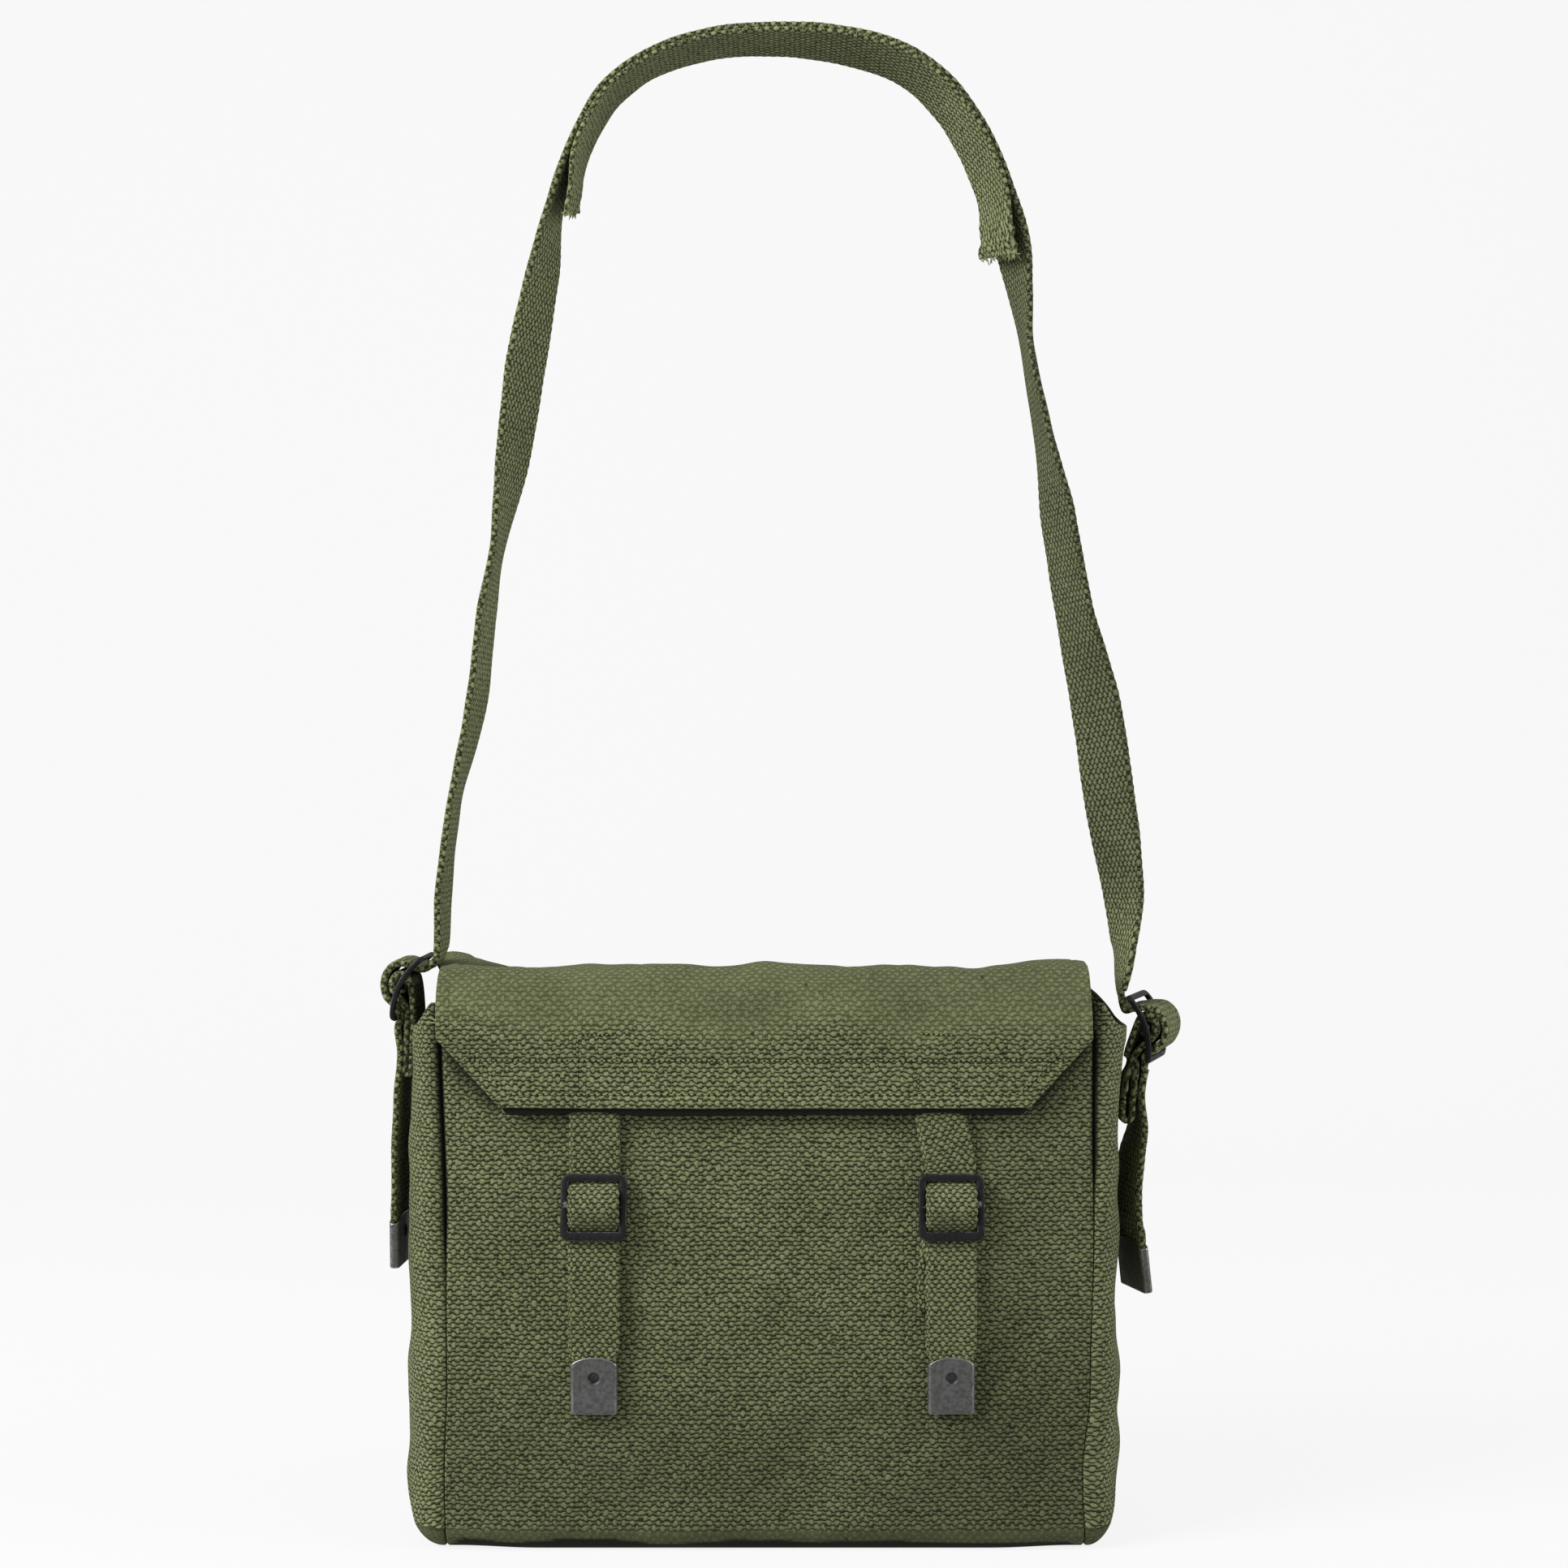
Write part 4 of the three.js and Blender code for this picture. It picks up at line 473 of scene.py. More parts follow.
def clothMaterial(name, look, flecks=(0.10, 0.15), edges=False):
    material = bpy.data.materials.new(name)
    material.use_nodes = True
    tree = material.node_tree
    shader = tree.nodes["Principled BSDF"]
    where = tree.nodes.new("ShaderNodeUVMap")
    where.uv_map = "weave"
    solidPlace = tree.nodes.new("ShaderNodeTexCoord").outputs["Object"]
    weave = tree.nodes.new("ShaderNodeGroup")
    weave.node_tree = weaveGroup
    tree.links.new(where.outputs[0], weave.inputs["Place"])
    for label, key in (("Pitch", "pitch"), ("Row", "row"), ("Wander", "wander"), ("Wide", "wide"), ("Tall", "tall"), ("Dash", "dash"), ("Slub", "slub")):
        weave.inputs[label].default_value = look[key]
    tone = calc(tree, "ADD", calc(tree, "MULTIPLY", weave.outputs["Yarn"], 0.9), -0.45)
    tone = calc(tree, "ADD", tone, calc(tree, "MULTIPLY", calc(tree, "SUBTRACT", noiseAt(tree, solidPlace, 22, 3, 0.6), 0.5), 0.8))
    tone = calc(tree, "ADD", tone, calc(tree, "MULTIPLY", calc(tree, "SUBTRACT", noiseAt(tree, solidPlace, 260, 2, 0.6), 0.5), 0.55))
    # marks in the mesh: where cloth is plain, and the shade mark, which darkens the colour towards black: painted shade
    # in seams, gaps, grooves and undersides, and a darker stretch of the shoulder strap
    plain = tree.nodes.new("ShaderNodeAttribute")
    plain.attribute_name = "plain"
    shade = tree.nodes.new("ShaderNodeAttribute")
    shade.attribute_name = "shade"
    woven = calc(tree, "SUBTRACT", 1.0, plain.outputs["Fac"])
    # the beads' crowns are painted lighter than their sides, a painted highlight, over the yarns' own uneven tone
    light = calc(tree, "ADD", calc(tree, "MULTIPLY", weave.outputs["Top"], 0.55), calc(tree, "ADD", tone, 0.3), clamp=True)
    light = calc(tree, "MULTIPLY", light, calc(tree, "SUBTRACT", 1.0, calc(tree, "MULTIPLY", plain.outputs["Fac"], 0.3)))
    colour = blendColour(tree, light, (*look["low"], 1), (*look["high"], 1))
    # the pits between beads are painted dark: painted shade, as the bump casts none
    pit = calc(tree, "MULTIPLY", calc(tree, "MULTIPLY", weave.outputs["Pit"], 0.93), woven)
    colour = blendColour(tree, pit, colour, (*look["dark"], 1))
    dark = tree.nodes.new("ShaderNodeGroup")
    dark.node_tree = fleckGroup
    tree.links.new(where.outputs[0], dark.inputs["Place"])
    for label, v in (("Spread", 150.0), ("Share", flecks[0]), ("Size", 0.2)):
        dark.inputs[label].default_value = v
    colour = blendColour(tree, calc(tree, "MULTIPLY", dark.outputs["Fleck"], 0.8), colour, (0.012, 0.014, 0.006, 1))
    pale = tree.nodes.new("ShaderNodeGroup")
    pale.node_tree = fleckGroup
    tree.links.new(solidPlace, pale.inputs["Place"])
    for label, v in (("Spread", 320.0), ("Share", flecks[1]), ("Size", 0.2)):
        pale.inputs[label].default_value = v
    colour = blendColour(tree, calc(tree, "MULTIPLY", pale.outputs["Fleck"], 0.5), colour, (0.33, 0.35, 0.22, 1))
    height = calc(tree, "MULTIPLY", weave.outputs["Height"], calc(tree, "SUBTRACT", 1.0, calc(tree, "MULTIPLY", plain.outputs["Fac"], 0.8)))
    if edges:
        groove = tree.nodes.new("ShaderNodeAttribute")
        groove.attribute_name = "groove"
        band = tree.nodes.new("ShaderNodeAttribute")
        band.attribute_name = "selvage"
        onEdge = remap(tree, band.outputs["Fac"], 0.25, 0.8)
        bead = remap(tree, groove.outputs["Fac"], 0.35, 1.0)
        height = calc(tree, "MULTIPLY", height, calc(tree, "SUBTRACT", 1.0, calc(tree, "MULTIPLY", onEdge, 0.75)))
        # the grooves between the edge's beads are painted dark: painted shade
        colour = blendColour(tree, calc(tree, "MULTIPLY", bead, 0.8), colour, (*look["dark"], 1))
    colour = blendColour(tree, shade.outputs["Fac"], colour, (0.0045, 0.005, 0.003, 1))
    tree.links.new(colour, shader.inputs["Base Color"])
    bump = tree.nodes.new("ShaderNodeBump")
    bump.inputs["Distance"].default_value = look["relief"]
    bump.inputs["Strength"].default_value = 1.0
    tree.links.new(height, bump.inputs["Height"])
    tree.links.new(bump.outputs[0], shader.inputs["Normal"])
    tree.links.new(remap(tree, weave.outputs["Yarn"], 0.3, 0.7, 0.86, 0.96), shader.inputs["Roughness"])
    shader.inputs["Specular IOR Level"].default_value = 0.18
    shader.inputs["Sheen Weight"].default_value = 0.05
    shader.inputs["Sheen Roughness"].default_value = 0.6
    shader.inputs["Sheen Tint"].default_value = (0.75, 0.78, 0.55, 1)
    return material


def metalMaterial(name, paint, bare, roughPaint, roughBare, metallic, amount, spread=(0.7, 1.35), shine=0.5):
    material = bpy.data.materials.new(name)
    material.use_nodes = True
    tree = material.node_tree
    shader = tree.nodes["Principled BSDF"]
    place = tree.nodes.new("ShaderNodeTexCoord").outputs["Object"]
    edge = tree.nodes.new("ShaderNodeAttribute")
    edge.attribute_name = "wearAndHighlight"
    wearAndHighlight = tree.nodes.new("ShaderNodeGroup")
    wearAndHighlight.node_tree = wearAndHighlightGroup
    tree.links.new(place, wearAndHighlight.inputs["Place"])
    tree.links.new(edge.outputs["Fac"], wearAndHighlight.inputs["Edge"])
    wearAndHighlight.inputs["Amount"].default_value = amount
    mottle = noiseAt(tree, place, 500, 3, 0.6)
    base = blendColour(tree, remap(tree, mottle, 0.3, 0.7), (*[c * spread[0] for c in paint], 1), (*[c * spread[1] for c in paint], 1))
    colour = blendColour(tree, wearAndHighlight.outputs["WearAndHighlight"], base, (*bare, 1))
    # darker where the mesh's dent mark is: the tip's dimple, in its groove and middle
    dent = tree.nodes.new("ShaderNodeAttribute")
    dent.attribute_name = "dent"
    colour = blendColour(tree, dent.outputs["Fac"], colour, (0.012, 0.012, 0.012, 1))
    tree.links.new(colour, shader.inputs["Base Color"])
    rough = calc(tree, "ADD", roughPaint, calc(tree, "MULTIPLY", calc(tree, "SUBTRACT", wearAndHighlight.outputs["Smudge"], 0.5), 0.35))
    mixRough = tree.nodes.new("ShaderNodeMix")
    feed(tree, mixRough.inputs[0], wearAndHighlight.outputs["WearAndHighlight"])
    feed(tree, mixRough.inputs[2], rough)
    feed(tree, mixRough.inputs[3], roughBare)
    tree.links.new(mixRough.outputs[0], shader.inputs["Roughness"])
    tree.links.new(remap(tree, wearAndHighlight.outputs["WearAndHighlight"], 0.0, 1.0, metallic, 0.9), shader.inputs["Metallic"])
    bump = tree.nodes.new("ShaderNodeBump")
    bump.inputs["Distance"].default_value = 0.00008
    tree.links.new(noiseAt(tree, place, 1600, 3, 0.6), bump.inputs["Height"])
    tree.links.new(bump.outputs[0], shader.inputs["Normal"])
    shader.inputs["Specular IOR Level"].default_value = shine
    return material


canvasCloth = clothMaterial("oliveCanvas", canvasLook)
flapCloth = clothMaterial("oliveCanvasFlap", flapLook, flecks=(0.16, 0.18))
webCloth = clothMaterial("oliveWebbing", strapLook, flecks=(0.06, 0.12), edges=True)
narrowCloth = clothMaterial("oliveNarrowWebbing", narrowLook, flecks=(0.06, 0.12), edges=True)
threadCloth = clothMaterial("oliveThread", dict(strapLook, pitch=0.0012, row=0.0006, relief=0.0002, wander=0.0002), flecks=(0, 0))
# near-black: painted shade of the stitch holes
holeShadeCloth = clothMaterial("stitchHoleShade", dict(strapLook, low=(0.008, 0.009, 0.004), high=(0.012, 0.014, 0.006), relief=0.0001), flecks=(0, 0))
# near-black cloth for the strip that paints the shadow under the flap's lower edge
shadowStripCloth = clothMaterial("shadowStripCloth", dict(canvasLook, low=(0.004, 0.004, 0.0035), high=(0.009, 0.009, 0.008), dark=(0.003, 0.003, 0.003),
                                                pitch=0.002, row=0.001, relief=0.0002), flecks=(0, 0))
blackMetal = metalMaterial("blackenedSteel", (0.011, 0.011, 0.012), (0.42, 0.42, 0.41), 0.5, 0.36, 0.0, 0.5, shine=0.22)
tipMetal = metalMaterial("greySteel", (0.115, 0.115, 0.113), (0.40, 0.40, 0.39), 0.48, 0.34, 0.6, 0.7, (0.8, 1.4))
print("materials made")


seamTable = [
    {"up": 0.0, "left": 0.984, "right": 0.986},
    {"up": 0.14, "left": 0.988, "right": 0.978},
    {"up": 0.3, "left": 0.98, "right": 1.002},
    {"up": 0.6, "left": 0.984, "right": 1.014},
    {"up": 1.0, "left": 1.002, "right": 1.014},
]

# Share of its swell that a gusset has, by height
swellTable = [
    {"up": 0.0, "left": 1.2, "right": 1.4},
    {"up": 0.08, "left": 1.06, "right": 1.44},
    {"up": 0.16, "left": 1.0, "right": 1.46},
    {"up": 0.27, "left": 1.08, "right": 1.26},
    {"up": 0.46, "left": 1.0, "right": 1.02},
    {"up": 0.75, "left": 1.0, "right": 1.0},
    {"up": 1.0, "left": 0.92, "right": 1.25},
]

# Folds of the front: across and up of its middle, its slant, and reach, breadth and rise in millimetres
frontFolds = [
    {"across": 99, "up": 58, "slant": 38, "reach": 64, "breadth": 11.2, "rise": 2.1},
    {"across": 115, "up": 90, "slant": 44, "reach": 51, "breadth": 9.6, "rise": -2.0},
    {"across": -138, "up": 79, "slant": 78, "reach": 54, "breadth": 7, "rise": -1.5},
    {"across": -109, "up": 26, "slant": -30, "reach": 35, "breadth": 9.6, "rise": 1.8},
    {"across": 0, "up": 26, "slant": 0, "reach": 128, "breadth": 12.8, "rise": -1.4},
]


def seamAt(side, z):
    left = readTable(seamTable, "left", np.asarray(z, float) / bag["frontHeight"])
    right = readTable(seamTable, "right", np.asarray(z, float) / bag["frontHeight"])
    return halfWidth * np.where(np.asarray(side) < 0, left, right)


def frontBulge(x, z):
    x, z = np.broadcast_arrays(np.asarray(x, float), np.asarray(z, float))
    share = np.clip(np.abs(x) / seamAt(x, z), 0, 1)
    height = np.clip(z / bag["frontHeight"], 0, 1)
    byHeight = np.minimum(1, np.sqrt(height / 0.3)) * mix(1, 0.55, np.clip((height - 0.45) / 0.55, 0, 1))
    folds = 0
    for fold in frontFolds:
        c, s = math.cos(fold["slant"] * degrees), math.sin(fold["slant"] * degrees)
        dx, dz = x - fold["across"], z - fold["up"]
        folds = folds + fold["rise"] * bell((dx * c + dz * s) / fold["reach"]) * bell((dz * c - dx * s) / fold["breadth"])
    bulge = bag["frontSwell"] * (1 - share ** 3) * byHeight + folds * (1 - share ** 6)
    return bulge * np.clip((z - 2) / bag["underRadius"], 0, 1)


def frontAt(x, z):
    return -halfDepth - frontBulge(x, z)


# The front, bottom and back seen from the side, drawn in by inset: y, z, facing in y and z
def bodyPath(inset, frontTop, backTop, wall, corner, under):
    turn = max(bag["underRadius"], inset)
    radius = max(bag["underRadius"] - inset, 0)
    path = [(-halfDepth + inset, mix(frontTop, turn, t), -1, 0) for t in np.linspace(0, 1, wall + 1)]
    for t in np.linspace(0, 1, corner + 1)[1:]:
        a = t * math.pi / 2
        path.append((-halfDepth + turn - math.cos(a) * radius, turn - math.sin(a) * radius, -math.cos(a), -math.sin(a)))
    for t in np.linspace(0, 1, under + 1)[1:-1]:
        path.append((mix(-halfDepth + turn, halfDepth - turn, t), inset, 0, -1))
    for t in np.linspace(0, 1, corner + 1):
        a = (1 - t) * math.pi / 2
        path.append((halfDepth - turn + math.cos(a) * radius, turn - math.sin(a) * radius, math.cos(a), -math.sin(a)))
    path += [(halfDepth - inset, mix(turn, backTop, t), 1, 0) for t in np.linspace(0, 1, wall + 1)[1:]]
    return np.array(path)


flapSet = {"width": 320, "edgeWidth": 259, "drop": 66, "cornerDrop": 33, "sewn": 30, "frontRadius": 22, "backRadius": 17,
           "standOff": 2.2, "hem": 5.6, "shadowStripDrop": 3.7}

# The seam's groove is deep at the top and closes lower down.
seamLook = {"roundTop": 4.2, "roundLow": 1.5, "closesFrom": {leftEdge: 111, rightEdge: 143}, "openFrom": {leftEdge: 168, rightEdge: 199},
            "gapTop": 0.4, "gapLow": 0.15, "lip": 4, "hidden": (253, 259)}


def seamOpen(side, z):
    return ramp(np.asarray(z, float), seamLook["closesFrom"][side], seamLook["openFrom"][side])


def seamRound(side, z):
    return mix(seamLook["roundLow"], seamLook["roundTop"], seamOpen(side, z))


def runLength(path):
    return np.concatenate([[0], np.cumsum(np.hypot(np.diff(path[:, 0]), np.diff(path[:, 1])))])


closings = [
    {"name": "Left", "node": "left", "atFlap": -0.522 * halfWidth, "atBuckle": -0.522 * halfWidth, "chapeAside": 0,
     "stitched": [(112.6, -90.5, -80)]},
    {"name": "Right", "node": "right", "atFlap": 0.534 * halfWidth, "atBuckle": 0.57 * halfWidth, "chapeAside": -4.2, "stitched": []},
]


# How far a place on the front lies outside the flap, and whether a cut corner is what it lies next to.
def besideFlap(x, z):
    below = bag["height"] - flapSet["drop"] - z
    reach = (flapSet["width"] - flapSet["edgeWidth"]) / 2
    rise = flapSet["drop"] - flapSet["cornerDrop"]
    past = ((np.abs(x) - flapSet["width"] / 2) * rise - (z - bag["height"] + flapSet["cornerDrop"]) * reach) / math.hypot(reach, rise)
    return np.maximum(below, past), ramp(past - below, -3, 4)


bodySet = {"columns": 126, "lipRound": 6, "band": (6.4, 3.9), "sag": 1.5, "plainBelow": 11.5, "sideways": (0.55, 0.9)}


def makeBody():
    path = bodyPath(0, bag["frontHeight"], bag["frontHeight"], wall=86, corner=12, under=14)
    run = runLength(path)
    arcs = np.linspace(0, math.pi / 2, bodySet["lipRound"])
    middle = np.linspace(-1, 1, bodySet["columns"])[1:-1]
    rows, facings, weave, turnedIn = [], [], [], []
    for (y, z, fy, fz), length in zip(path, run):
        outwards = np.array([0, fy, fz])
        halves, rounds = {}, {}
        for side in (leftEdge, rightEdge):
            r = rounds[side] = float(seamRound(side, z)) if fy < 0 else 2.0
            seam = float(seamAt(side, z))
            spots = [(side * seam, r + seamLook["lip"], side)]
            spots += [(side * (seam - r * (1 - math.cos(a))), r * (1 - math.sin(a)), side * math.cos(a)) for a in arcs]
            places = [side * (seam + seamLook["lip"] + r * 0.57)] + [side * (seam + r * (math.pi / 2 - 1) - r * a) for a in arcs]
            halves[side] = list(zip(spots, places))
        flat = [((x, 0.0, 0.0), x) for x in mix(rounds[leftEdge] - float(seamAt(-1, z)), float(seamAt(1, z)) - rounds[rightEdge], (middle + 1) / 2)]
        line = halves[leftEdge] + flat + halves[rightEdge][::-1]
        x, down, sideways = np.array([spot for spot, _ in line]).T
        bulge = frontBulge(x, z) * max(-fy, 0) * (1 - np.minimum(down / 8, 1))
        rows.append(np.stack([x, np.full(x.shape, y), np.full(x.shape, z)], -1) + outwards * (bulge - down)[:, None])
        facings.append(outwards * np.sqrt(1 - sideways ** 2)[:, None] + np.array([1, 0, 0]) * sideways[:, None])
        weave.append([(u, -length) for _, u in line])
        turnedIn.append(np.abs(sideways) * np.where(x < 0, seamOpen(leftEdge, z), seamOpen(rightEdge, z)) * (fy < 0))
    outer, facing, weave = np.array(rows), np.array(facings), np.array(weave)
    x, y, z = outer[..., 0], outer[..., 1], outer[..., 2]
    isFront = ramp(-facing[..., 1], 0.5, 1)
    isBack = ramp(facing[..., 1], 0.5, 1)
    away = np.clip((seamAt(x, z) - np.abs(x)) / 26, 0, 1)
    calm = 1.0
    for closing in closings:
        calm = calm * (1 - bell((x - closing["atBuckle"]) / 17) * ramp(z, 61, 75))
    calm = calm * (1 - ramp(z, 235, 253))
    lift = (0.8 * ripples(x, z, 70, 3) + 0.4 * ripples(x, z, 30, 5)) * away * calm * isFront
    lift = lift + (1.3 * ripples(x, z, 85, 8) + 0.4 * ripples(x, z, 34, 9)) * away * isBack * (1 - ramp(z, 218, 238))
    lift = lift + 0.5 * bell((z - 8) / 3.5) * isFront
    outer = outer + facing * lift[..., None]
    # painted shade: inside the open seams, under the flap and along its cut corners, the dark lower band where the
    # cloth turns under, the plain strip above it, and more towards the bottom and right of the front
    beside, corner = besideFlap(x, z)
    shade = ramp(np.array(turnedIn), *bodySet["sideways"]) * (1 - ramp(z, *seamLook["hidden"]))
    under = (1 - ramp(beside, -0.5, mix(3.8, 12.0, corner))) * mix(0.55, 0.9, corner)
    shade = np.maximum(shade, under * isFront)
    band = mix(*bodySet["band"], ramp(x, -10, 150)) * (1 - ramp(np.abs(x), 148, 157)) + 1.2 * ripples(x, x * 0, 60, 12)
    shade = np.maximum(shade, np.where(y < 0, 0.97 * (1 - ramp(z, band - 0.5, band + 0.4)), 0.5 * (1 - ramp(z, 1, 4))))
    plain = (1 - ramp(z, bodySet["plainBelow"] - 1.5, bodySet["plainBelow"])) * (y < 0)
    shade = np.maximum(shade, 0.42 * plain)
    outer[..., 2] -= bodySet["sag"] * (1 - ramp(z, 2, 16)) * (1 - ramp(np.abs(x), 110, 152))
    # painted shade: the front is darker towards the bottom and the right
    shade = np.maximum(shade, (0.24 * (1 - ramp(z, 30, 150)) + 0.15 * ramp(x, 50, 130)) * isFront)
    points, faces, corners, marks = clothShell(outer, facing, bag["cloth"], weave, marks={"shade": shade, "plain": plain})
    return makePiece("bodyCanvas", points, faces, [corners], canvasCloth, ["main_panel"], marks=marks)


makeBody()
print("body made")

gussetDents = {
    leftEdge: [{"up": 101.6, "at": 0, "wide": 33, "tall": 22, "deep": 2}, {"up": 246.4, "at": 0, "wide": 49.5, "tall": 37.4, "deep": 6}],
    rightEdge: [{"up": 63.5, "at": -5.5, "wide": 33, "tall": 11, "deep": 2.97}, {"up": 139.7, "at": 16.5, "wide": 33, "tall": 33, "deep": 1.35},
                {"up": 223.5, "at": 0, "wide": 37.4, "tall": 33, "deep": 2.16}],
}


def swellOf(side):
    return bag["swellLeft"] if side < 0 else bag["swellRight"]


def swellShare(side, z):
    return readTable(swellTable, "left" if side < 0 else "right", np.asarray(z, float) / bag["gussetRim"])


def gussetDent(side, y, z):
    total = 0
    for dent in gussetDents[side]:
        total = total + dent["deep"] * bell((y - dent["at"]) / dent["wide"]) * bell((z - dent["up"]) / dent["tall"])
    return total


def gussetFace(side, z):
    rise = np.clip(z / halfDepth, 0, 1)
    swell = swellOf(side) * np.sqrt(1 - (1 - rise) ** 2) * swellShare(side, z)
    return seamAt(side, z) + 4.4 + swell - gussetDent(side, 0, z)


def makeGusset(side, name, node):
    swell = swellOf(side)
    angles = np.linspace(0, math.pi / 2, 34)
    arcs = np.linspace(0, math.pi / 2, 6)
    quarter = np.concatenate([[0], np.cumsum(np.hypot(np.diff(halfDepth * (1 - np.cos(angles))), np.diff(swell * np.sin(angles))))])
    whole = quarter[-1]
    rows, facings, weave, shades = [], [], [], []
    rings = [("lip", 0.0)] + [("arc", a) for a in arcs] + [("face", a) for a in angles[1:]]
    for kind, a in rings:
        inset = {"lip": 8.0, "arc": 4.2 * (1 - math.sin(a)), "face": halfDepth * (1 - math.cos(a))}[kind]
        sag = math.sin(a) if kind == "face" else 0.0
        # the front half of the rim sinks sooner than the rear half
        top = mix(bag["gussetCorner"], bag["gussetRim"], sag) - 3.5 * math.sin(math.pi * sag)
        rear = mix(bag["gussetCorner"] + 2, bag["gussetRim"], sag) + (4 if side == rightEdge else 2) * math.sin(math.pi * sag)
        path = bodyPath(inset if kind == "face" else 0, top, rear, 70, 10, 8)
        y, z, fy, fz = path.T
        aside = y / max(halfDepth - (inset if kind == "face" else 0), 1e-3)
        r = np.where(fy < 0, seamRound(side, z), 2.0)
        gap = seamLook["gapLow"]
        if kind == "lip":
            y, z = y - fy * (r + seamLook["lip"]), z - fz * (r + seamLook["lip"])
            reach, out, s = np.zeros_like(r), -1.0, -(r * math.pi / 2 + seamLook["lip"])
        elif kind == "arc":
            down = r * (1 - math.sin(a))
            y, z = y - fy * down, z - fz * down
            reach, out, s = r * (1 - math.cos(a)), -math.cos(a), -r * (math.pi / 2 - a)
        else:
            reach = r + (4 + swell * swellShare(side, z) - r) * math.sin(a)
            out, s = math.sin(a), np.full_like(r, quarter[np.argmin(np.abs(angles - a))])
        dent = gussetDent(side, y, z) * sag
        wrinkle = (0.9 * ripples(y, z, 60, 21 + side) + 0.45 * ripples(y, z, 26, 25 + side)) * sag * ramp(z, 4, 30)
        calm = 1 - bell(y / 24) * ramp(z, 170, 200)
        # the rim is turned in and stitched down, so it is a little thicker
        hem = 0.55 * ramp(z, top - 10.5, top - 8.5) if kind == "face" else 0.0
        x = side * (seamAt(side, z) + gap + reach - dent + wrinkle * calm + hem)
        rows.append(np.stack([x, y, z], -1))
        # painted shade: inside the open seam, along the underside, and a dark line along the rear rim behind the front
        # half
        inSeam = max(-out, 0.0) * seamOpen(side, z) * (fy < 0) * (1 - ramp(z, *seamLook["hidden"]))
        shade = np.maximum(ramp(inSeam, 0.3, 0.8), 0.55 * (1 - ramp(z, 1, 5)) * sag)
        shades.append(np.maximum(shade, 0.85 * ramp(z, rear - 2.2, rear - 0.8) * (y > 4)))
        outwards = np.stack([np.zeros_like(fy), fy, fz], -1) * math.sqrt(max(0, 1 - out ** 2))
        facings.append(unit(outwards + np.array([side * out, 0, 0])))
        # flattened cloth: out from the middle line by what is left of the quarter
        left = whole - s
        flatV = np.where(np.abs(fy) >= 0.999, z, halfDepth + fz * left)
        flatV = np.where((np.abs(fy) >= 0.999) & (z < halfDepth), halfDepth - (halfDepth - z) * left / max(halfDepth - (inset if kind == "face" else 0), 1e-3), flatV)
        weave.append(np.stack([aside * left, flatV], -1))
    outer, facing, weave = np.array(rows), np.array(facings), np.array(weave)
    points, faces, corners, marks = clothShell(outer, facing, bag["cloth"], weave, rims=("first", "start", "end"), marks={"shade": np.array(shades)})
    return makePiece(name, points, faces, [corners], canvasCloth, [node], weld=True, marks=marks)


makeGusset(leftEdge, "gussetLeft", "gusset_left")
makeGusset(rightEdge, "gussetRight", "gusset_right")
print("gussets made")

closingSet = {"width": 25, "thickness": 2.2, "inside": 28, "end": 69.6, "chape": 1.6, "chapeLength": 53, "tip": 28,
              "tipNarrowing": 2.0, "plate": 0.9, "dimple": 3.1}
flapInnerOut = closingSet["thickness"] + 2 * bag["gap"] + flapSet["standOff"]
flapWaves = [
    {"across": -1.06, "back": 0.75, "breadth": 0.14, "length": 0.5, "rise": 9.5},
    {"across": -0.74, "back": -0.4, "breadth": 0.1, "length": 0.6, "rise": -2.4},
    {"across": -0.56, "back": -0.6, "breadth": 0.08, "length": 0.8, "rise": 1.2},
    {"across": 0.62, "back": -0.4, "breadth": 0.12, "length": 0.9, "rise": -1.6},
    {"across": 0.93, "back": -0.6, "breadth": 0.16, "length": 0.6, "rise": 2.4},
]


def flapPath():
    back = halfDepth + bag["gap"] + bag["cloth"]
    front = -halfDepth - bag["frontSwell"] * 0.75 - flapInnerOut - bag["cloth"]
    topBack, topFront = bag["height"] - flapSet["backRadius"], bag["height"] - flapSet["frontRadius"]
    path = [(back, z) for z in np.linspace(bag["frontHeight"] - flapSet["sewn"], topBack, 24)]
    path += [(back - flapSet["backRadius"] * (1 - math.cos(a)), topBack + flapSet["backRadius"] * math.sin(a)) for a in np.linspace(0, math.pi / 2, 16)[1:-1]]
    path += [(y, bag["height"]) for y in np.linspace(back - flapSet["backRadius"], front + flapSet["frontRadius"], 44)]
    path += [(front + flapSet["frontRadius"] * (1 + math.cos(a)), topFront + flapSet["frontRadius"] * math.sin(a)) for a in np.linspace(math.pi / 2, math.pi, 24)[1:-1]]
    path += [(front, z) for z in np.linspace(topFront, bag["height"] - flapSet["drop"], 46)]
    return np.array(path)


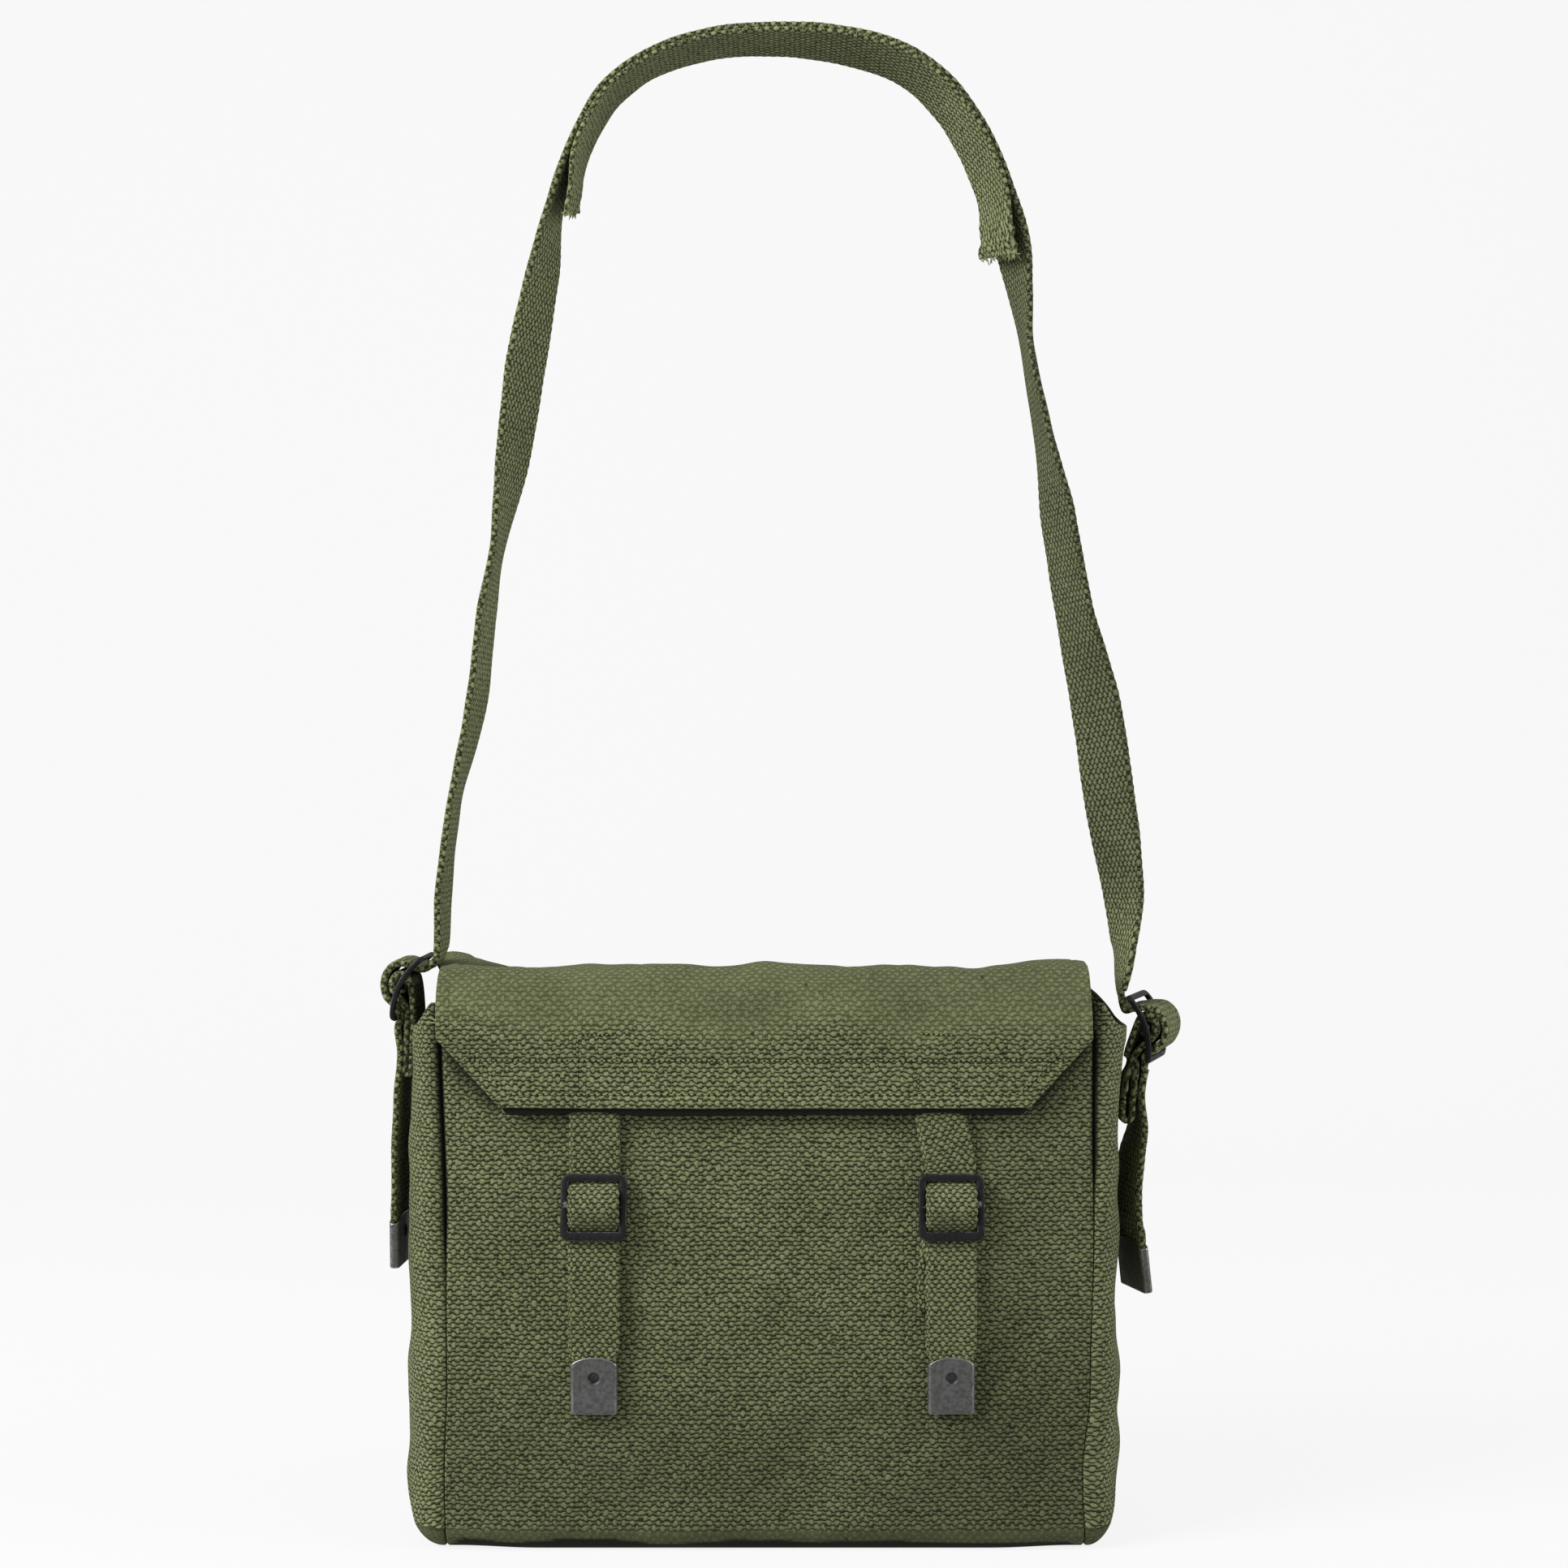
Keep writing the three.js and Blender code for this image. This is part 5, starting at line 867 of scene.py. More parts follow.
def makeFlap():
    path = flapPath()
    run = runLength(path)
    along = unit(np.gradient(path, axis=0))
    t = np.linspace(-1, 1, 191)
    y, z = path[:, 0:1], path[:, 1:2]
    cut = np.clip((bag["height"] - z - flapSet["cornerDrop"]) / (flapSet["drop"] - flapSet["cornerDrop"]), 0, 1)
    half = mix(flapSet["width"], flapSet["edgeWidth"], np.where(y < 0, cut, 0)) / 2
    x = t[None, :] * half
    # its left edge flares out towards the back, and its right edge is a little narrower on top
    x = x - 12 * ramp(-t[None, :], 0.8, 1.0) * ramp(y, -50, 40) * ramp(z, 262, 284) - 1.3 * ramp(t[None, :], 0.8, 1.0) * ramp(z, 236, 280)
    facing = np.stack([np.zeros(x.shape), np.broadcast_to(along[:, 1:2], x.shape), np.broadcast_to(-along[:, 0:1], x.shape)], -1)
    wave = 0
    for w in flapWaves:
        wave = wave + w["rise"] * bell((x / (flapSet["width"] / 2) - w["across"]) / w["breadth"]) * bell((y / halfDepth - w["back"]) / w["length"])
    # the top slopes down towards the back, and its side edges turn down a little
    fall = mix(2.0, -6.0, ramp(y, -58, 52)) - 1.0 * ramp(np.abs(t)[None, :], 0.96, 1.0)
    lift = np.maximum(0, facing[..., 2]) * (wave + fall)
    inFront = y < -halfDepth
    follow = np.where(inFront, frontBulge(x, np.minimum(z, bag["frontHeight"])) - bag["frontSwell"] * 0.75, 0)
    sink = np.where(inFront, ramp(bag["height"] - flapSet["frontRadius"] - z, 0, 30), 0)
    px, py, pz = x, y - np.minimum(follow, 1.5) * sink, z + lift
    outer = np.stack(np.broadcast_arrays(px, py, pz), -1)
    frontness = ramp(-facing[..., 1], 0.3, 1.0)
    topness = ramp(facing[..., 2], 0.3, 1.0)
    down = np.broadcast_to(run[:, None], x.shape)
    swell = 0.45 * ripples(x, down, 46, 31) + 0.3 * ripples(x, down, 19, 33)
    swell = swell * (0.5 + 0.9 * topness)
    # the closing straps are sewn inside and push the cloth out a little
    for closing in closings:
        swell = swell + 0.5 * bell((x - closing["atFlap"]) / 13) * frontness * ramp(bag["height"] - z, 28, 40)
    # hem along the lower edge, the cut corners and the sides: doubled cloth, sunk along its stitches
    toEdge = z - (bag["height"] - flapSet["drop"])
    toSide = half - np.abs(x)
    near = np.minimum(np.where(y < 0, toEdge, 1e3), toSide * np.where((y < 0) & (cut > 0), 0.735, 1.0))
    # a crease falls off the front corner on the left
    swell = swell - 0.8 * bell((z - 262 + 0.25 * (x + 150)) / 3.0) * bell((x + 138) / 20) * frontness
    swell = swell + 0.45 * (1 - ramp(near, flapSet["hem"] - 1.2, flapSet["hem"] + 1.0)) - 0.5 * bell((near - flapSet["hem"]) / 0.9)
    swell = swell - 0.35 * bell((z - 242.6) / 0.7) * frontness * ramp(153 - np.abs(x), 0, 3)
    outer = outer + facing * swell[..., None]
    weave = np.stack(np.broadcast_arrays(x, down), -1)
    smooth = 3.5 * ripples(x, x * 0, 90, 35) + 5 * ramp(-x, 60, 140)
    plain = 0.68 * ramp(z - smooth, 248, 266)
    # painted shade: a dark line along the stitch groove across the flap, and darker over its top
    shade = 0.8 * bell((z - 242.6) / 0.5) * frontness * (np.abs(x) < 152)
    points, faces, corners, marks = clothShell(outer, facing, bag["cloth"], weave, rimSteps=6, marks={"plain": plain, "shade": np.maximum(0.35 * shade, 0.32 * ramp(z - smooth, 257, 276))})
    makePiece("flapCanvas", points, faces, [corners], flapCloth, ["flap"], marks=marks)
    return outer, facing


flapOuter, flapFacing = makeFlap()
flapFront = [i for i in range(len(flapOuter)) if flapFacing[i, 0, 1] < -0.6]


# A place on the front of the flap and the way it faces.
def onFlap(x, z):
    heights = np.array([flapOuter[i, 95, 2] for i in flapFront])[::-1]
    rows = np.array(flapFront)[::-1]
    at = np.interp(z, heights, rows.astype(float))
    low, high = int(math.floor(at)), int(math.ceil(at))
    grid = lambda i: np.array([np.interp(x, flapOuter[i, :, 0], flapOuter[i, :, k]) for k in range(3)])
    return mix(grid(low), grid(high), at - low), flapFacing[low, 95]


def flapStitches(corners, pitch, gap, seed):
    line = []
    for (x0, z0), (x1, z1) in zip(corners, corners[1:]):
        count = max(2, int(math.hypot(x1 - x0, z1 - z0) / 2))
        line += [onFlap(mix(x0, x1, t), mix(z0, z1, t)) for t in np.linspace(0, 1, count)]
    return stitchesAlong([spot for spot, _ in line], [out for _, out in line], pitch, gap, seed)


# Rows of stitches: along the hem, across the flap, and a box where each strap is sewn on
stitchRows = [
    {"corners": [(-152, 254), (-125, 226), (125, 226), (152, 254)], "pitch": 3.3, "gap": 0.3},
    {"corners": [(-152, 242.6), (152, 242.6)], "pitch": 2.6, "gap": 0.22},
    {"corners": [(-91, 255), (-73, 255.5)], "pitch": 2.1, "gap": 0.5},
    {"corners": [(-91.5, 254), (-91.5, 226.5), (-85, 225.5)], "pitch": 2.4, "gap": 0.45},
    {"corners": [(-46.8, 234), (-46.8, 228)], "pitch": 2.2, "gap": 0.55},
    {"corners": [(93.5, 254), (93.5, 227)], "pitch": 2.4, "gap": 0.45},
    {"corners": [(75, 256), (93, 255)], "pitch": 2.3, "gap": 0.4},
    {"corners": [(75, 236), (75, 227)], "pitch": 2.2, "gap": 0.5},
]


def sewFlap():
    threads, holes = [], []
    for number, row in enumerate(stitchRows):
        made = flapStitches(row["corners"], row["pitch"], row["gap"], 40 + number)
        threads += made[0]
        holes += made[1]
    makeThreads("flapStitches", threads, 0.34, threadCloth)
    makeThreads("flapStitchHoles", holes, 0.62, holeShadeCloth)


# A near-black strip under the flap's lower edge: painted shadow of the edge standing off the front.
def makeShadowStrip():
    edge = flapOuter[-1]
    keep = edge[np.abs(edge[:, 0]) < flapSet["edgeWidth"] / 2 - 0.8]
    x = keep[:, 0]
    hang = flapSet["shadowStripDrop"] + 0.35 * ripples(x, x * 0, 55, 51) - 1.0 * bell((x - closings[0]["atFlap"]) / 14) - 1.0 * bell((x - closings[1]["atFlap"]) / 14)
    hang = hang * (0.35 + 0.65 * ramp(flapSet["edgeWidth"] / 2 - np.abs(x), 0.5, 4))
    rows = []
    for t in np.linspace(0, 1, 9):
        rows.append(np.stack([x, keep[:, 1] + 1.1 + 0.5 * t, mix(keep[:, 2] + 5, keep[:, 2] - hang, t)], -1))
    outer = np.array(rows)
    facing = np.broadcast_to(np.array([0.0, -1.0, 0.0]), outer.shape).copy()
    points, faces, corners, _ = clothShell(outer, facing, 0.8, outer[..., [0, 2]])
    makePiece("flapShadowStrip", points, faces, [corners], shadowStripCloth)


looseThreads = [
    [(-168.5, -50, 261.0), (-165.5, -57, 260.3), (-161.5, -63.6, 260.9), (-156.5, -66, 260.2)],
    [(-167, -52, 262.5), (-163.5, -60, 262.8), (-160.5, -64.5, 261.6), (-158, -66, 262.4)],
    [(-160.8, -64, 253.5), (-158.5, -66, 251.8), (-156, -66.2, 252.4)],
]
sewFlap()
makeShadowStrip()
makeThreads("looseThreads", looseThreads, 0.3, threadCloth)
print("flap made")


buckleSet = {"size": 32.4, "bar": 3.2, "face": 3.9, "steel": 2.8, "thickness": 2.4, "middleBar": 1.4, "height": 171.2}
barStep = buckleSet["size"] / 2 - buckleSet["bar"] / 2  # middle bar to the top or bottom bar
underStrap = 2 * (bag["gap"] + closingSet["chape"])
outAtTop = 1.6 * bag["gap"] + closingSet["thickness"] / 2
outAtBottom = underStrap + bag["gap"] + closingSet["thickness"] / 2
pastBar = closingSet["thickness"] / 2 + 2.6 * bag["gap"] + buckleSet["thickness"] / 2
topBarOut, bottomBarOut = outAtTop + pastBar, outAtBottom + pastBar
middleBarOut = (topBarOut + bottomBarOut) / 2
chapeLoop = buckleSet["middleBar"] + bag["gap"] + closingSet["chape"] / 2
outOverBar = middleBarOut + chapeLoop + closingSet["chape"] / 2 + bag["gap"] + closingSet["thickness"] / 2


def closingAcross(closing, z):
    flapEdge = bag["height"] - flapSet["drop"]
    share = ramp(flapEdge - z, 0, flapEdge - buckleSet["height"] - barStep)
    return mix(closing["atFlap"], closing["atBuckle"], share)


def frontFrame(closing, z):
    x = float(closingAcross(closing, z))
    step = closingSet["width"] / 2
    yaw = math.atan2(float(frontAt(x + step, z)) - float(frontAt(x - step, z)), 2 * step)
    return x, float(frontAt(x, z)), np.array([math.cos(yaw), math.sin(yaw), 0]), yaw


def frontControls(closing, path, width):
    across = frontFrame(closing, buckleSet["height"])[2]
    made = []
    for z, out in path:
        x, y, _, _ = frontFrame(closing, z)
        made.append((np.array([x, y - out, z]), across, width))
    return made


def straightEnd(lower, upper, width, length, plate):
    inside = width - closingSet["tipNarrowing"] - 2 * (plate + bag["gap"])
    at = lambda up, wide: (mix(lower[0], upper[0], up / length), lower[1], wide)
    return [at(length + 4, width), at(length - 4, inside), at(plate + bag["gap"], inside)]


def makeClosing(closing):
    flapEdge = bag["height"] - flapSet["drop"]
    underFlap = flapInnerOut - bag["gap"] - closingSet["thickness"] / 2
    h, f = buckleSet["height"], barStep
    out = outAtBottom * 0.8
    sewnEnd = h - closingSet["chapeLength"]
    path = [
        (flapEdge + closingSet["inside"], underFlap), (flapEdge + closingSet["inside"] / 2, underFlap),
        (flapEdge, underFlap), (mix(flapEdge, h + f, 0.6), mix(underFlap, outAtTop, 0.55)),
        (h + f * 1.3, mix(outAtTop, outOverBar, 0.01)), (h + f, outAtTop), (h + f * 0.74, mix(outAtTop, outOverBar, 0.26)),
        (h + f * 0.4, mix(outAtTop, outOverBar, 0.78)), (h, outOverBar), (h - f * 0.42, mix(outAtBottom, outOverBar, 0.68)),
        (h - f * 0.76, mix(outAtBottom, outOverBar, 0.12)), (h - f, outAtBottom), (h - f * 1.5, outAtBottom), (sewnEnd, outAtBottom),
        (mix(sewnEnd, closingSet["end"] + closingSet["tip"] + 4, 0.5), mix(outAtBottom, out, 0.5)),
    ]
    lower, upper = frontControls(closing, [(closingSet["end"], out), (closingSet["end"] + closingSet["tip"], out)], closingSet["width"])
    controls = frontControls(closing, path, closingSet["width"]) + straightEnd(lower, upper, closingSet["width"], closingSet["tip"], closingSet["plate"])
    sections = evenSections(controls, 0.8)
    points, faces, corners, marks = webbingBand(*sections, closingSet["thickness"], bead=0.55, beadPitch=4.7, flats=14)
    makePiece("closingStrap" + closing["name"], points, faces, corners, narrowCloth, ["closing_strap_" + closing["node"]], marks=marks)

    for number, (level, first, last) in enumerate(closing["stitched"]):
        near = points[np.abs(points[:, 2] - level) < 1.5]
        line = [(x, near[np.abs(near[:, 0] - x) < 2.4][:, 1].min(), level) for x in np.linspace(first, last, 8)]
        threads, holes = stitchesAlong(line, [(0, -1, 0)] * len(line), 2.3, 0.35, 80 + number)
        makeThreads("strapStitches" + closing["name"], threads, 0.36, threadCloth)
        makeThreads("strapStitchHoles" + closing["name"], holes, 0.42, holeShadeCloth)

    inner = bag["gap"] + closingSet["chape"] / 2
    outer = inner + closingSet["chape"] + bag["gap"]
    around = [(h + chapeLoop * math.sin(a * degrees), middleBarOut + chapeLoop * math.cos(a * degrees)) for a in (165, 130, 95, 60, 20, -15)]
    chapePath = [
        (h - closingSet["chapeLength"], inner), (h - closingSet["chapeLength"] / 2, inner), (h - f * 0.6, inner),
        (h - f * 0.25, mix(inner, middleBarOut - chapeLoop, 0.55)), *around,
        (h - f * 0.3, mix(outer, middleBarOut + chapeLoop, 0.72)), (h - f * 0.68, mix(outer, middleBarOut + chapeLoop, 0.2)),
        (h - f, outer), (h - closingSet["chapeLength"] * 0.6, outer), (h - closingSet["chapeLength"] + 3, outer),
    ]
    aside = lambda spot: np.array([closing["chapeAside"] * float(ramp(h - f - spot[2], 0, 16)), 0, 0])
    sections = evenSections([(spot + aside(spot), way, wide) for spot, way, wide in frontControls(closing, chapePath, closingSet["width"] - 1)], 0.9)
    points, faces, corners, marks = webbingBand(*sections, closingSet["chape"], bead=0.35, beadPitch=4.7, flats=12)
    makePiece("frontChape" + closing["name"], points, faces, corners, narrowCloth, ["front_chape_" + closing["node"]], marks=marks)
    return lower, upper


# A buckle frame round a rounded square, with a middle bar: width along x, thickness along y, bowed towards -y
def buckleParts(width, height, bar, thickness, middleBar, bow, corner, low=0.0, worn=0):
    around, ring = [], 14
    w, h = width / 2 - bar / 2, height / 2 - bar / 2
    r = corner
    for cx, cz, start in ((w - r, h - r, 0), (-w + r, h - r, 90), (-w + r, -h + r, 180), (w - r, -h + r, 270)):
        for a in np.linspace(start, start + 90, 9):
            around.append((cx + r * math.cos(a * degrees), cz + r * math.sin(a * degrees), math.cos(a * degrees), math.sin(a * degrees)))
    line = []
    for i, now in enumerate(around):
        after = around[(i + 1) % len(around)]
        steps = max(1, int(math.hypot(after[0] - now[0], after[1] - now[1]) / 1.2))
        line += [tuple(mix(np.array(now), np.array(after), k / steps)) for k in range(steps)]
    points, faces, wearAndHighlight = [], [], []
    for x, z, nx, nz in line:
        n = unit(np.array([nx, 0, nz]))
        for k in range(ring):
            a = 2 * math.pi * (k + 0.5) / ring
            c, s = math.cos(a), math.sin(a)
            # flat bar with softened edges
            e = 2 / 3.6
            u = math.copysign(abs(c) ** e, c) * bar * (1 + low * max(0, -n[2])) / 2
            v = math.copysign(abs(s) ** e, s) * thickness / 2
            p = np.array([x, 0, z]) + n * u + np.array([0, v, 0])
            p[1] += bow * (p[2] / (height / 2)) ** 2
            points.append(p)
            # every edge of the frame is paler as a painted highlight; the rubbed patch is paint rubbed off where the
            # strap runs
            rubbed = 1.3 * bell((z - 1.5) / 2.2) * (c < 0.35) * (s < 0.3) * (x * worn > width * 0.3)
            wearAndHighlight.append(max((abs(c * s) * 2) ** 2.0, rubbed))
    count = len(line)
    for i in range(count):
        for k in range(ring):
            a, b = i * ring + k, i * ring + (k + 1) % ring
            c, d = ((i + 1) % count) * ring + (k + 1) % ring, ((i + 1) % count) * ring + k
            faces.append([a, b, c, d])
    base = len(points)
    xs = np.linspace(-width / 2 + bar * 0.4, width / 2 - bar * 0.4, 40)
    for x in xs:
        for k in range(16):
            a = 2 * math.pi * k / 16
            points.append(np.array([x, middleBar * math.sin(a), middleBar * math.cos(a)]))
            wearAndHighlight.append(0.35 + 0.6 * ramp(abs(x), width / 2 - bar - 5.5, width / 2 - bar - 2) * (math.sin(a) < 0.3))
    for i in range(len(xs) - 1):
        for k in range(16):
            faces.append([base + i * 16 + k, base + i * 16 + (k + 1) % 16, base + (i + 1) * 16 + (k + 1) % 16, base + (i + 1) * 16 + k])
    faces.append([base + k for k in range(16)][::-1])
    faces.append([base + (len(xs) - 1) * 16 + k for k in range(16)])
    return np.array(points), faces, {"wearAndHighlight": wearAndHighlight}


def turned(points, lean, yaw, place):
    cl, sl = math.cos(lean), math.sin(lean)
    cy, sy = math.cos(yaw), math.sin(yaw)
    x, y, z = points.T
    y, z = y * cl - z * sl, y * sl + z * cl
    x, y = x * cy - y * sy, x * sy + y * cy
    return np.stack([x, y, z], -1) + place


def makeFrontBuckle(closing):
    points, faces, marks = buckleParts(buckleSet["size"], buckleSet["size"], buckleSet["face"], buckleSet["steel"], buckleSet["middleBar"], 0, 2.4,
                                       low=0.25, worn=-1 if closing["name"] == "Left" else 1)
    x, y, across, yaw = frontFrame(closing, buckleSet["height"])
    lean = math.asin((bottomBarOut - topBarOut) / (2 * barStep))
    points = turned(points, -lean, yaw, np.array([x, y - middleBarOut, buckleSet["height"]]))
    makePiece("frontBuckle" + closing["name"], points, faces, None, blackMetal, ["front_buckle_" + closing["node"]], marks=marks)


# A tip: plate folded round a strap's end, arched above, with a dimple punched in its face
def tipParts(width, length, strapThick, plate, dimple):
    depth = strapThick + 2 * (plate + bag["gap"])
    r = depth * 0.42
    w, d = width / 2, depth / 2
    loop = []
    flat = np.linspace(-w + r, w - r, int((width - 2 * r) / 0.55) + 1)
    loop += [(x, -d, 0, -1) for x in flat]
    loop += [(w - r + r * math.sin(a), -d + r - r * math.cos(a), math.sin(a), -math.cos(a)) for a in np.linspace(0, math.pi / 2, 6)[1:]]
    loop += [(w - r + r * math.cos(a), d - r + r * math.sin(a), math.cos(a), math.sin(a)) for a in np.linspace(0, math.pi / 2, 6)]
    loop += [(x, d, 0, 1) for x in flat[::-1][1:]]
    loop += [(-w + r - r * math.sin(a), d - r + r * math.cos(a), -math.sin(a), math.cos(a)) for a in np.linspace(0, math.pi / 2, 6)[1:]]
    loop += [(-w + r - r * math.cos(a), -d + r - r * math.sin(a), -math.cos(a), -math.sin(a)) for a in np.linspace(0, math.pi / 2, 6)[:-1]]
    loop = np.array(loop)
    n = len(loop)
    top = length * (1 - 0.13 * np.abs(loop[:, 0] / w) ** 2.4)
    levels = np.concatenate([[0.0, 0.006, 0.02], np.linspace(0.05, 1, 44)])
    points, faces, wearAndHighlight, dent = [], [], [], []
    for level in levels:
        z = top * level
        draw = np.where(z < 0.9, 0.9 - np.sqrt(np.maximum(0.81 - (0.9 - z) ** 2, 0)), 0)
        x = loop[:, 0] - loop[:, 2] * draw
        y = loop[:, 1] - loop[:, 3] * draw
        away = np.hypot(x, z - length * 0.64)
        onFace = (loop[:, 3] < -0.9)
        punch = np.where(onFace, plate * 1.7 * (1 - ramp(away, dimple * 0.5, dimple * 0.98)), 0)
        rim = np.where(onFace, 0.16 * bell((away - dimple * 1.12) / 0.5), 0)
        points.append(np.stack([x, y + punch - rim, z], -1))
        dent.append(np.where(onFace, np.maximum(0.95 * bell((away - dimple * 0.72) / (dimple * 0.24)), 0.5 * (1 - ramp(away, 0, dimple * 0.7))), 0))
        edge = np.maximum(ramp(level, 0.965, 1.0), 1 - ramp(z, 0.2, 1.4))
        # paler along the tip's edges, rounded corners and the dimple's rim: partly rubbed metal, partly painted
        # highlight
        wearAndHighlight.append(np.clip(edge + 0.75 * (np.abs(loop[:, 2]) > 0.25) * (np.abs(loop[:, 3]) > 0.2) + 0.8 * bell((away - dimple) / 0.6) * onFace, 0, 1) * np.ones(n))
    inner = loop[:, :2] - loop[:, 2:] * plate
    for share in (0.5, 1.0):
        points.append(np.stack([mix(loop[:, 0], inner[:, 0], share), mix(loop[:, 1], inner[:, 1], share), top + (0.12 if share == 0.5 else 0)], -1))
        wearAndHighlight.append(np.ones(n))
        dent.append(np.zeros(n))
    points.append(np.stack([inner[:, 0], inner[:, 1], np.full(n, plate)], -1))
    wearAndHighlight.append(np.zeros(n))
    dent.append(np.zeros(n))
    rows = len(points)
    for i in range(rows - 1):
        for j in range(n):
            k = (j + 1) % n
            faces.append([i * n + j, i * n + k, (i + 1) * n + k, (i + 1) * n + j])
    faces.append(list(range(n))[::-1])
    faces.append([(rows - 1) * n + j for j in range(n)])
    return np.concatenate(points), faces, {"wearAndHighlight": np.concatenate(wearAndHighlight), "dent": np.concatenate(dent)}


def placeOnLine(points, lower, upper):
    up = unit(upper[0] - lower[0])
    wide = unit(lower[1] - up * np.dot(lower[1], up))
    out = np.cross(up, wide)
    return points[:, 0:1] * wide + points[:, 1:2] * out + points[:, 2:3] * up + lower[0]


def makeTip(name, node, width, length, thick, lower, upper):
    points, faces, marks = tipParts(width, length, thick, closingSet["plate"], closingSet["dimple"])
    makePiece(name, placeOnLine(points, lower, upper), faces, None, tipMetal, [node], marks=marks)


for closing in closings:
    lower, upper = makeClosing(closing)
    makeFrontBuckle(closing)
    makeTip("closingTip" + closing["name"], "closing_tip_" + closing["node"], closingSet["width"] - closingSet["tipNarrowing"],
            closingSet["tip"], closingSet["thickness"], lower, upper)
print("front straps made")


strapSet = {"width": 38, "thickness": 2.6, "woven": 3.5, "rise": 476, "spread": 160, "padWidth": 42, "padThickness": 2.6, "padFlare": 5,
            "tip": 26, "padFrom": 8, "padTo": 20, "darker": 0.4}
sideSet = {"height": 35.6, "bar": 3, "thickness": 2.2, "middleBar": 1.6, "chape": 2, "woven": 3.2, "steel": 3.0, "slack": 0.75}
sides = [
    {"name": "Left", "node": "left", "side": -1, "out": 0.702, "up": -0.281, "turn": 0, "tilt": 26, "bow": 0.13, "fold": 0.802, "open": 0.3,
     "enter": 0, "fromTop": [(-0.2, 0.13), (-0.14, -0.04), (-0.01, -0.125), (0.12, -0.1)], "roll": 3, "rise": 1.28, "shift": (0, 0), "bulk": 1.6, "tuck": 0,
     "tail": [(2.5, 0.832, 0), (1.9, 0.753, 2), (1.3, 0.654, 4), (1.5, 0.575, 3)], "tailEnd": (1.6, 0.462, 3)},
    {"name": "Right", "node": "right", "side": 1, "out": 1.095, "up": -0.885, "turn": 18, "tilt": 17, "bow": 0.12, "fold": 0.72, "open": 1.2,
     "enter": -3, "fromTop": [(-0.23, 0.17), (-0.2, -0.04), (-0.1, -0.17), (0.04, -0.15)], "roll": 3.5, "rise": 1.2, "shift": (0.4, -1.1), "bulk": 1.8, "tuck": 4,
     "tail": [(4.1, 0.772, -3), (4.1, 0.708, 4), (2.6, 0.649, 9), (1.9, 0.545, 12)], "tailEnd": (3.9, 0.416, 13)},
]
# Across is a share of the spread, up of the rise, and turn brings the far edge inwards, in degrees
strapTable = [
    (-1.036, 0.068, 2), (-1.0, 0.172, 0), (-0.93, 0.277, 6), (-0.894, 0.382, 5), (-0.869, 0.434, 0), (-0.814, 0.54, 17),
    (-0.77, 0.645, 23), (-0.711, 0.75, 16), (-0.672, 0.822, 3), (-0.617, 0.874, 3), (-0.513, 0.937, 2), (-0.375, 0.973, 0),
    (-0.19, 0.994, 1), (0.0, 1.0, 2), (0.17, 0.997, 5), (0.31, 0.989, 7), (0.465, 0.969, 9), (0.588, 0.933, 12),
    (0.685, 0.882, 14), (0.75, 0.828, 15), (0.793, 0.775, 19), (0.819, 0.723, 10), (0.842, 0.658, 0), (0.894, 0.565, 5),
    (0.935, 0.487, 18), (0.989, 0.382, 21), (1.059, 0.277, 33), (1.105, 0.172, 34), (1.149, 0.068, 22), (1.147, 0.014, 8),
]


def sideFrame(row):
    turn, tilt = row["turn"] * degrees, row["tilt"] * degrees
    bar = np.array([row["side"] * (halfWidth + row["out"] * sideSet["height"]), 0, bag["height"] + row["up"] * sideSet["height"]])
    out = np.array([row["side"] * math.cos(turn), -math.sin(turn), 0])
    across = np.array([row["side"] * math.sin(turn), math.cos(turn), 0])
    half = (sideSet["height"] - sideSet["bar"]) / 2
    bow = row["bow"] * sideSet["height"]
    onFrame = lambda along, off: (-math.sin(tilt) * along + math.cos(tilt) * off, math.cos(tilt) * along + math.sin(tilt) * off)
    return bar, out, across, tilt, half, bow, onFrame


def byBuckle(row, at, width):
    bar, out, across = sideFrame(row)[:3]
    return bar + out * at[0] + np.array([0, 0, at[1]]), across, width


def byGusset(row, outwards, z, turn, width):
    a = turn * degrees
    x = row["side"] * (float(gussetFace(row["side"], z)) + outwards)
    return np.array([x, 0, z]), np.array([-row["side"] * math.sin(a), math.cos(a), 0]), width


strapAtFrame = sideSet["thickness"] / 2 + 1.5 * bag["gap"] + strapSet["thickness"] / 2
chapeInner = bag["gap"] + sideSet["chape"] / 2 + sideSet["slack"]


